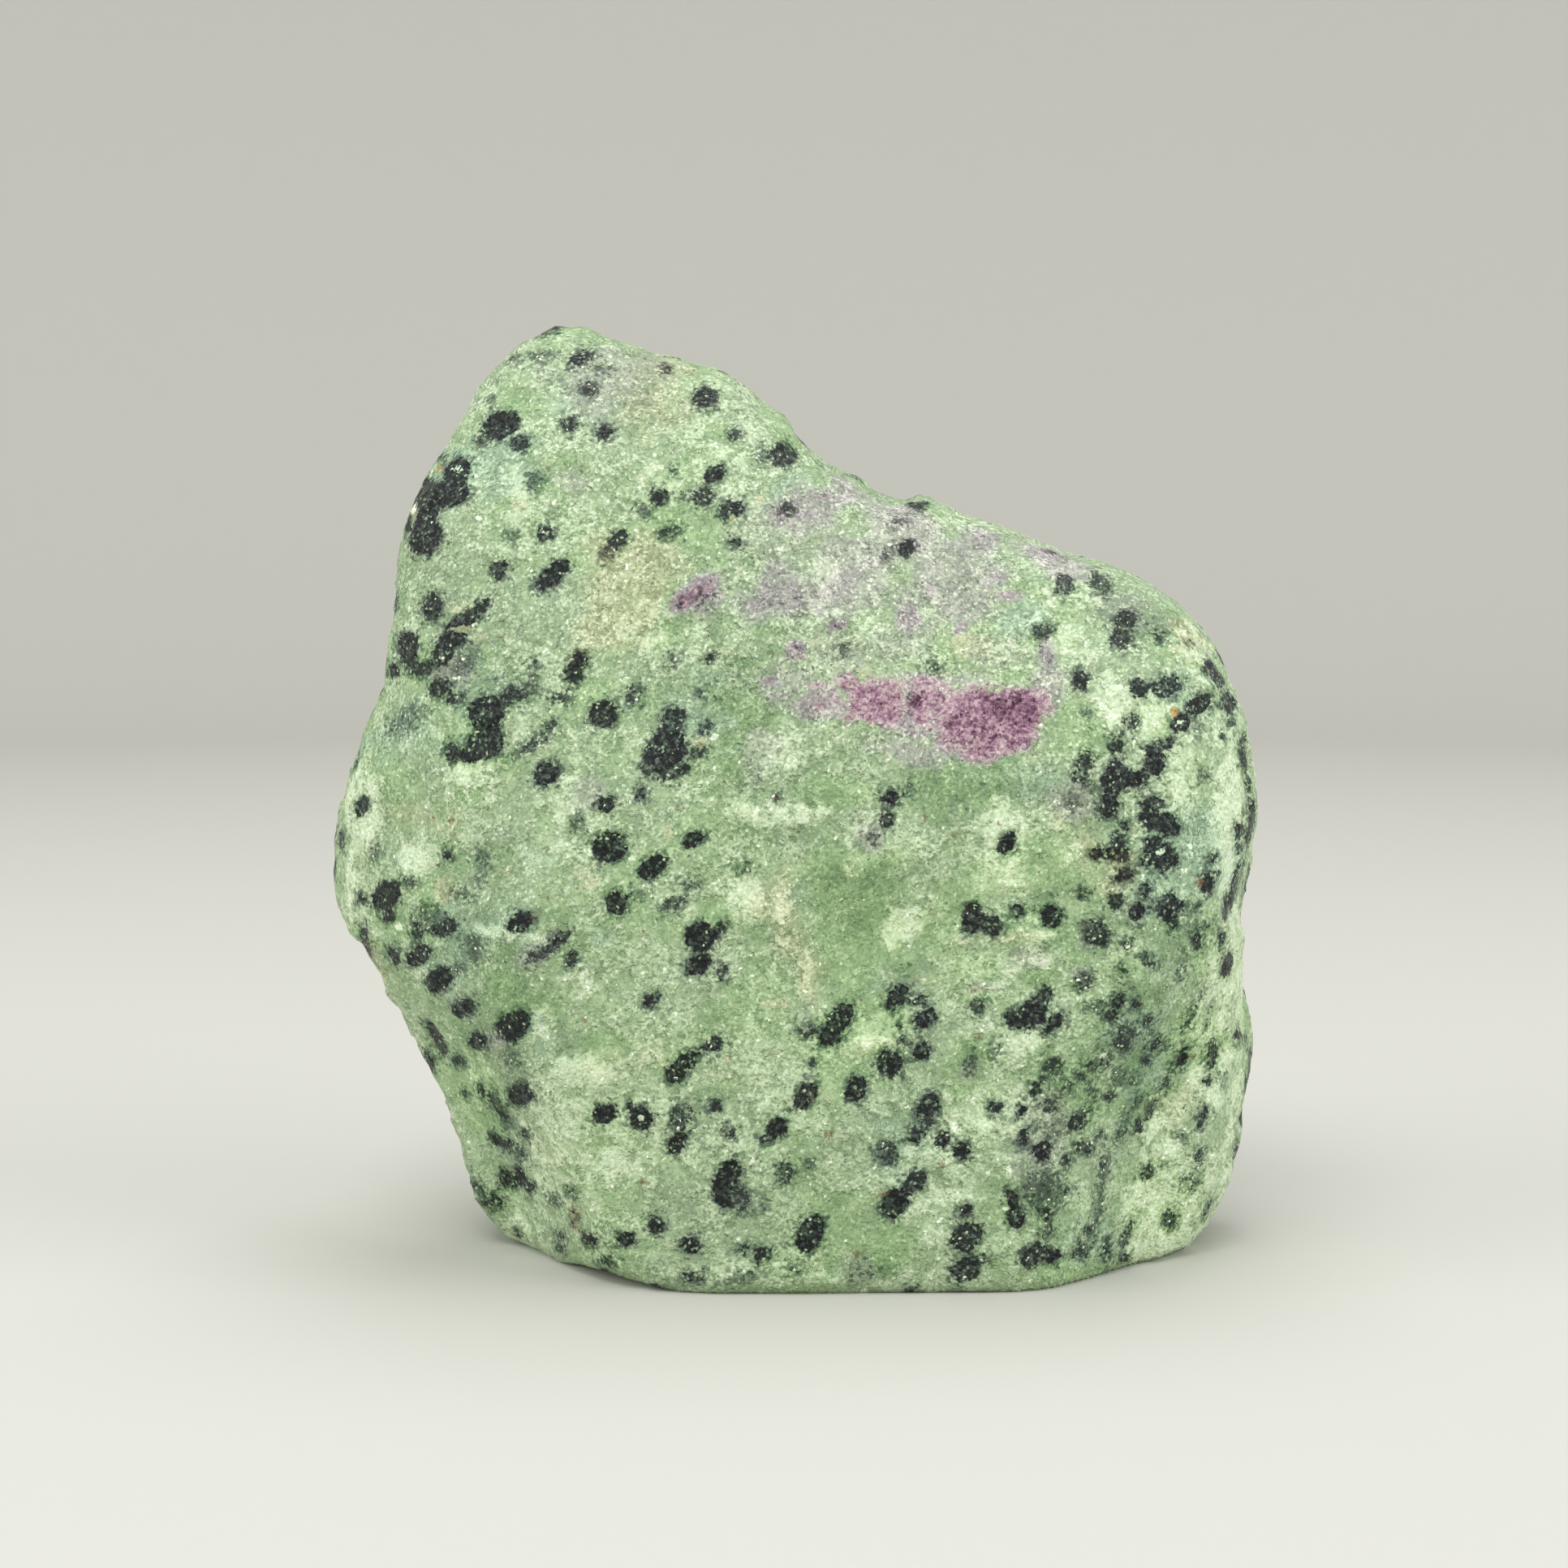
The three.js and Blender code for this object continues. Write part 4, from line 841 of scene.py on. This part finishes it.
class Graph:
    """Short calls for building a material's nodes."""

    def __init__(self, name):
        self.material = bpy.data.materials.new(name)
        self.material.use_nodes = True
        self.tree = self.material.node_tree
        self.tree.nodes.clear()

    def node(self, kind, **values):
        made = self.tree.nodes.new(kind)
        for name, value in values.items():
            setattr(made, name, value)
        return made

    def feed(self, socket, value):
        if isinstance(value, bpy.types.NodeSocket):
            self.tree.links.new(value, socket)
        else:
            socket.default_value = value

    def call(self, kind, *inputs, **values):
        """A node with its first inputs fed in order."""
        made = self.node(kind, **values)
        for socket, value in zip(made.inputs, inputs):
            self.feed(socket, value)
        return made

    def math(self, operation, *inputs):
        return self.call("ShaderNodeMath", *inputs, operation=operation).outputs[0]

    def vector(self, operation, *inputs):
        return self.call("ShaderNodeVectorMath", *inputs, operation=operation).outputs[0]

    def add(self, *terms):
        total = terms[0]
        for term in terms[1:]:
            total = self.math("ADD", total, term)
        return total

    def times(self, value, factor):
        return self.math("MULTIPLY", value, factor)

    def line(self, value, slope, start):
        """The start, plus the slope times the value."""
        return self.math("MULTIPLY_ADD", value, slope, start)

    def centred(self, value, amount):
        """A 0 to 1 value turned to swing about 0 by half that amount each way."""
        return self.line(value, amount, -amount / 2)

    def blend(self, share, one, two):
        """One number at share 0, the other at share 1."""
        return self.line(share, self.math("SUBTRACT", two, one), one)

    def step(self, value, low, high):
        """Softly 0 at low and 1 at high, whichever of them is the larger."""
        made = self.node("ShaderNodeMapRange", interpolation_type="SMOOTHSTEP")
        for name, number in (("Value", value), ("From Min", low), ("From Max", high)):
            self.feed(made.inputs[name], number)
        return made.outputs["Result"]

    def mix(self, share, one, two):
        """One colour at share 0, the other at share 1, on the colour sockets of a Mix node."""
        made = self.node("ShaderNodeMix", data_type="RGBA")
        for number, value in ((0, share), (6, one), (7, two)):
            self.feed(made.inputs[number], value)
        return made.outputs[2]

    def split(self, value, kind="ShaderNodeSeparateColor"):
        """The three parts of a colour or place."""
        return self.call(kind, value).outputs[:3]

    def attribute(self, name):
        return self.node("ShaderNodeAttribute", attribute_name=name).outputs["Fac"]

    def noise(self, place, length, detail=3.0, roughness=0.55, output="Fac"):
        made = self.node("ShaderNodeTexNoise")
        for name, value in (("Vector", place), ("Scale", 1.0 / length), ("Detail", detail),
                            ("Roughness", roughness)):
            self.feed(made.inputs[name], value)
        return made.outputs[output]

    def cells(self, place, length):
        """A random colour for each small cell, and how far each spot is from its cell's heart."""
        made = self.node("ShaderNodeTexVoronoi")
        self.feed(made.inputs["Vector"], place)
        self.feed(made.inputs["Scale"], 1.0 / length)
        return made.outputs["Color"], made.outputs["Distance"]

    def ramp(self, value, stops):
        """The colour at a tone, from a mineral's list of tones and colours."""
        made = self.call("ShaderNodeValToRGB", value)
        points = made.color_ramp.elements
        while len(points) < len(stops):
            points.new(0.5)
        for point, (tone, *screen) in zip(points, stops):
            point.position = tone
            point.color = linear(*screen)
        return made.outputs["Color"]

    def finish(self, colour, roughness, specular, normal=None):
        """Ends the material in one shader."""
        shader = self.node("ShaderNodeBsdfPrincipled")
        self.feed(shader.inputs["Base Color"], colour)
        self.feed(shader.inputs["Roughness"], roughness)
        self.feed(shader.inputs["Specular IOR Level"], specular)
        if normal is not None:
            self.feed(shader.inputs["Normal"], normal)
        self.call("ShaderNodeOutputMaterial", shader.outputs[0])
        return self.material


def patterns(g):
    """What the rock's layers share: painted marks, noises from broad to fine, and cells."""
    p = SimpleNamespace(dark=g.attribute("grain_dark"))
    for name in ("ruby", "mauve", "deep", "pale", "olive", "teal", "warm"):
        setattr(p, name, g.attribute(name))
    place = g.vector("MULTIPLY", g.node("ShaderNodeTexCoord").outputs["Object"], (1.0 / MM,) * 3)
    for name, measures in NOISES.items():
        setattr(p, name, g.noise(place, *measures))
    p.sugar, _ = g.cells(place, SUGAR)
    p.grit, p.grit_two, p.grit_three = g.split(p.sugar)
    drift = g.noise(place, DRIFT_LENGTH, 0.0, output="Color")
    crumbs, p.gap = g.cells(g.vector("MULTIPLY_ADD", drift, (CRUMB_DRIFT,) * 3, place), CRUMB)
    p.crumb, p.crumb_two, _ = g.split(crumbs)
    specks, p.speck_distance = g.cells(place, SPECK)
    p.speck, p.speck_two, _ = g.split(specks)
    p.height = g.split(place, "ShaderNodeSeparateXYZ")[2]
    return p


def add_places(g, p):
    """Where the ground is frosty, porous, rough or ruby."""
    frosty = g.add(p.patch, g.centred(p.fleck, 0.7), g.centred(p.crumb_two, 0.08), g.times(p.pale, 0.12),
                   g.times(p.deep, -0.09))
    p.frost = g.step(frosty, 0.465, 0.565)
    p.pores = g.step(g.add(p.fleck, g.centred(p.crumb_two, 0.2)), 0.43, 0.36)
    p.rough = g.add(0.74, g.times(g.step(p.height, 8.0, 55.0), 0.33), g.times(p.mauve, 0.3),
                    g.times(p.olive, -0.3), g.times(p.pale, -0.15))
    ruby_edge = g.add(p.ruby, g.centred(p.fleck, 0.9), g.centred(p.fine, 0.5), g.centred(p.crumb_two, 0.2))
    p.ruby_here = g.step(ruby_edge, 0.27, 0.74)


def ground_tone(g, p):
    """Smooth glassy green in places, a pale crust in others, and paler clouds over both."""
    # The bright dots on the glassy ground are painted sparkle, and its pores are darkened with painted
    # shade
    glass_grit = g.add(g.centred(p.crumb, 0.06), g.centred(p.fine, 0.05), g.centred(p.grit, 0.13),
                       g.times(g.step(p.grit_two, 0.88, 0.93), 0.13))
    glass = g.add(GLASS_TONE, g.centred(p.broad, 0.08), g.centred(p.soft, 0.18),
                  g.times(glass_grit, p.rough), g.times(p.pores, -0.03))
    # The crust is darker in the gaps between its crumbs and in its pores: painted shade in these hollows
    crust_grit = g.add(g.centred(p.crumb, 0.12), g.centred(p.fine, 0.04), g.centred(p.grit, 0.24))
    crust = g.add(FROST_TONE, g.centred(p.broad, 0.06), g.times(crust_grit, p.rough),
                  g.times(p.gap, -0.06), g.times(p.pores, -0.09))
    # The deep tint darkens the ground: darker green, and over the right-hand crease painted shade
    ground = g.add(g.blend(p.frost, glass, crust), g.times(p.deep, -0.08), g.times(p.mauve, -0.035))
    # The pale tint lifts these clouds; in the strips along the edges it is a painted rim of light
    cloud = g.add(p.pale, g.centred(p.fleck, 1.6), g.centred(p.patch, 1.0), g.centred(p.crumb_two, 0.3))
    return g.blend(g.times(g.step(cloud, 0.1, 1.05), 0.88), ground, g.line(p.grit, 0.1, PALE_TONE - 0.05))


def with_flecks(g, p, tone):
    """Small dark flecks, thick where the deep tint darkens the stone."""
    shape = g.step(g.add(p.speck_distance, g.centred(p.fine, 0.8)), 0.28, 0.1)
    here = g.step(g.add(p.speck, g.times(p.deep, 0.6)), 1.2, 1.4)
    swarm = g.step(g.add(g.centred(p.fleck, 1.0), g.centred(p.crumb, 0.6), g.centred(p.grit_three, 0.3),
                         g.times(p.deep, 0.5)), 0.62, 0.8)
    return g.add(tone, g.times(g.times(shape, here), -0.27), g.times(swarm, -0.26))


def with_ruby(g, p, tone):
    """The ruby's crystals, darkest at the heart of the patch, with dots."""
    dots = g.step(g.add(p.fleck, g.centred(p.grit_three, 0.2)), 0.46, 0.38)
    crystal = g.add(g.math("MINIMUM", g.line(p.ruby, -0.42, 0.92), 0.64), g.centred(p.fleck, 0.2),
                    g.centred(p.crumb, 0.18), g.centred(p.grit, 0.28), g.times(dots, -0.1),
                    g.times(p.deep, -0.1))
    return g.blend(p.ruby_here, tone, crystal)


def with_grains(g, p, tone):
    """Black grains, the blackest with the cleanest edges, a dusky fringe, and painted glints inside them.
    """
    wobble = g.add(g.centred(p.fleck, 0.8), g.centred(p.fine, 0.6), g.centred(p.crumb_two, 0.3),
                   g.centred(p.grit_two, 0.18))
    ragged = g.add(g.attribute("grain_edge"), -GRAIN_SWELL, g.times(wobble, g.line(p.dark, -0.75, 1.35)))
    dusky = g.step(g.add(ragged, g.centred(p.crumb, 1.0)), 0.25, 0.1)
    fringe = g.add(g.times(g.step(ragged, 0.7, -0.1), g.line(p.dark, 0.08, 0.06)),
                   g.times(dusky, g.line(p.dark, 0.10, 0.06)))
    filled = g.step(g.add(p.dark, g.centred(p.grit_three, 0.6), g.centred(p.fine, 1.4)), 0.32, 0.5)
    p.grain = g.times(g.step(ragged, 0.1, -0.06), filled)
    # Inside a grain: lighter specks, and bright dots that are painted glints on its faces
    grain_tone = g.add(0.42, g.times(p.dark, -0.36), g.times(g.step(p.crumb_two, 0.6, 0.9), 0.17),
                       g.times(g.step(p.grit, 0.74, 0.88), 0.2),
                       g.times(g.step(p.grit_three, 0.93, 0.96), 0.4))
    return g.blend(p.grain, g.add(tone, g.times(fringe, -1.0)), grain_tone)


def with_chips(g, p, tone):
    """Cream chips, which lie over the grains too."""
    p.chip = g.step(g.add(g.attribute("chip_edge"), g.centred(p.fine, 0.7), g.centred(p.crumb_two, 0.2)),
                    0.1, -0.1)
    chip_tone = g.add(0.76, g.centred(p.fine, 0.16), g.centred(p.grit, 0.12))
    return g.blend(g.times(p.chip, 0.8), tone, chip_tone)


def with_glints(g, p, tone):
    """Painted highlights for light on crystal faces: a few placed ones and a fine scatter."""
    placed = g.step(g.add(g.attribute("glint_edge"), g.centred(p.fine, 0.4), g.centred(p.grit_two, 0.2)),
                    0.03, -0.07)
    tone = g.blend(g.times(placed, 0.85), tone, 1.0)
    return g.add(tone, g.times(g.step(p.grit_three, 0.978, 0.988), 0.14))


def mineral_colour(g, p, tone):
    """Looks the tone up in the ramp of each mineral, where that mineral is."""
    leafy = g.step(g.add(p.olive, g.centred(p.hue, 2.0), g.times(p.frost, -0.4), g.times(p.deep, 0.2)),
                   -0.5, 0.5)
    tealish = g.step(g.add(p.teal, g.centred(p.hue, -1.6), g.centred(p.soft, 1.0)), 0.2, 0.9)
    creamy = g.step(g.add(p.warm, g.centred(p.fleck, 1.0), g.centred(p.hue, 0.8)), 0.25, 0.95)
    creamy = g.math("MAXIMUM", g.times(creamy, 0.85), p.chip)
    hazy = g.step(g.add(p.mauve, g.centred(p.patch, 1.0), g.centred(p.fleck, 0.6), g.times(p.frost, -0.2)),
                  0.1, 0.8)
    lilac = g.step(g.add(p.mauve, g.times(p.ruby, 0.7), g.centred(p.fleck, 1.8), g.centred(p.patch, 2.0),
                         g.centred(p.crumb_two, 0.3), g.times(p.frost, -0.3)), 0.6, 1.0)
    colour = g.ramp(tone, ZOISITE)
    for share, mineral in ((leafy, LEAF), (tealish, TEAL), (creamy, CREAM), (hazy, GREY),
                           (g.times(lilac, 0.8), LILAC), (p.ruby_here, RUBY)):
        colour = g.mix(share, colour, g.ramp(tone, mineral))
    return colour


def with_rust(g, p, colour):
    """Rusty specks, the placed ones and a few finer ones, and the ochre specks."""
    finer = g.times(g.step(p.speck_distance, 0.15, 0.08),
                    g.step(g.add(p.speck_two, g.centred(p.broad, 0.6)), 0.9, 0.92))
    placed = g.step(g.add(g.attribute("rust_edge"), g.centred(p.fine, 0.7)), 0.1, -0.1)
    colour = g.mix(g.times(g.math("MAXIMUM", finer, placed), 0.7), colour, linear(*RUST))
    ochre = g.step(g.add(g.attribute("ochre_edge"), g.centred(p.fine, 0.7), g.centred(p.crumb_two, 0.2)),
                   0.1, -0.1)
    return g.mix(g.times(ochre, 0.75), colour, linear(*OCHRE))


def sugary_normal(g, p):
    """Each sugar grain faces its own way a little, on fine bumps."""
    tilt = g.vector("SUBTRACT", p.sugar, (0.5, 0.5, 0.5))
    flat = g.node("ShaderNodeNewGeometry").outputs["Normal"]
    turned = g.vector("MULTIPLY_ADD", tilt, (FACET_TILT,) * 3, flat)
    relief = g.add(g.times(p.fine, 0.3), g.times(p.fleck, 0.8), g.times(g.times(p.frost, p.gap), -0.35),
                   g.times(p.frost, 0.4), g.times(p.pores, -0.2), g.times(p.grain, -0.3))
    bump = g.node("ShaderNodeBump")
    for name, value in (("Strength", 1.0), ("Distance", BUMP_DEPTH * MM), ("Height", relief),
                        ("Normal", g.vector("NORMALIZE", turned))):
        g.feed(bump.inputs[name], value)
    return bump.outputs[0]


def ruby_zoisite():
    """Sugary green zoisite with pale clouds, black grains, a ruby patch and painted sparkle on its faces.

    One tone carries the pattern: how light each spot is, from black grain to white glint. The colour
    is then looked up by that tone, in the ramp of the mineral that is there. The numbers in a layer are
    how strongly each pattern shows in the tone, and where its steps begin and end.
    """
    g = Graph("ruby_zoisite")
    p = patterns(g)
    add_places(g, p)
    tone = ground_tone(g, p)
    for layer in (with_flecks, with_ruby, with_grains, with_chips, with_glints):
        tone = layer(g, p, tone)
    colour = with_rust(g, p, mineral_colour(g, p, tone))
    roughness = g.line(p.grit_two, ROUGHNESS_SPREAD, SMOOTHEST)
    return g.finish(colour, roughness, STONE_SPECULAR, sugary_normal(g, p))


def build_stone():
    mesh = dense_copy(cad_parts["stone"])
    carve(mesh)
    mark(mesh)
    mesh.materials.clear()
    mesh.materials.append(ruby_zoisite())
    mesh.polygons.foreach_set("use_smooth", [True] * len(mesh.polygons))
    stone = link("stone_surface", mesh)
    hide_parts("stone")
    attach(stone, "root")


# The floor, the lights and the camera, in metres
FLOOR_RADIUS, FLOOR_BEND, WALL_HEIGHT = 0.62, 0.3, 0.5
FLOOR_SIDES, BEND_STEPS = 96, 14
LIT_POINT = Vector((0.0, 0.0, 0.035))
# Each light's place, the length of its sides and its power
LIGHTS = {
    "key": ((-0.14, -0.46, 0.70), 0.36, 2.45),
    "left": ((-0.60, -0.22, 0.26), 0.45, 2.0),
    "right": ((0.60, -0.26, 0.26), 0.45, 2.5),
    "top": ((0.05, 0.22, 0.80), 0.50, 2.4),
}
WORLD_STRENGTH = 0.52


def floor_ring(shape, radius, height):
    turns = [2 * math.pi * k / FLOOR_SIDES for k in range(FLOOR_SIDES)]
    return [shape.verts.new((radius * math.cos(turn), radius * math.sin(turn), height)) for turn in turns]


def build_floor():
    """A pale floor that curves up all round into a plain backdrop."""
    profile = [(FLOOR_RADIUS, 0.0)]
    for step in range(1, BEND_STEPS + 1):
        angle = math.pi / 2 * step / BEND_STEPS
        profile.append((FLOOR_RADIUS + FLOOR_BEND * math.sin(angle), FLOOR_BEND * (1 - math.cos(angle))))
    profile.append((FLOOR_RADIUS + FLOOR_BEND, WALL_HEIGHT))
    shape = bmesh.new()
    rings = [floor_ring(shape, radius, height) for radius, height in profile]
    shape.faces.new(rings[0])
    for lower, upper in zip(rings, rings[1:]):
        for k in range(FLOOR_SIDES):
            other = (k + 1) % FLOOR_SIDES
            shape.faces.new((lower[k], lower[other], upper[other], upper[k]))
    bmesh.ops.recalc_face_normals(shape, faces=shape.faces)
    mesh = bpy.data.meshes.new("floor")
    shape.to_mesh(mesh)
    shape.free()
    mesh.polygons.foreach_set("use_smooth", [True] * len(mesh.polygons))
    mesh.materials.append(Graph("floor_paint").finish(linear(*FLOOR_COLOUR), roughness=0.5, specular=0.0))
    floor = link("floor", mesh)


def build_lights():
    """Square soft lights that look at the middle of the stone, in an even white room."""
    for name, (place, size, power) in LIGHTS.items():
        light = bpy.data.lights.new(name, "AREA")
        light.shape = "SQUARE"
        light.size = size
        light.energy = power
        lamp = link(name, light)
        lamp.location = place
        lamp.rotation_euler = (LIT_POINT - Vector(place)).to_track_quat("-Z", "Y").to_euler()
    world = bpy.data.worlds.new("studio")
    world.use_nodes = True
    background = world.node_tree.nodes["Background"]
    background.inputs["Color"].default_value = (1.0, 1.0, 1.0, 1.0)
    background.inputs["Strength"].default_value = WORLD_STRENGTH
    bpy.context.scene.world = world


def build_camera():
    data = bpy.data.cameras.new("camera")
    data.sensor_width = SENSOR
    data.lens = FOCAL_PIXELS / PHOTO_SIDE * SENSOR
    data.clip_start = 0.01
    camera = link("camera", data)
    camera.location = CAMERA_AT * MM
    camera.rotation_euler = (math.pi / 2 - CAMERA_PITCH, 0.0, 0.0)
    bpy.context.scene.camera = camera


build_camera()
build_lights()
build_floor()
build_stone()
bpy.context.scene.view_settings.view_transform = "Standard"
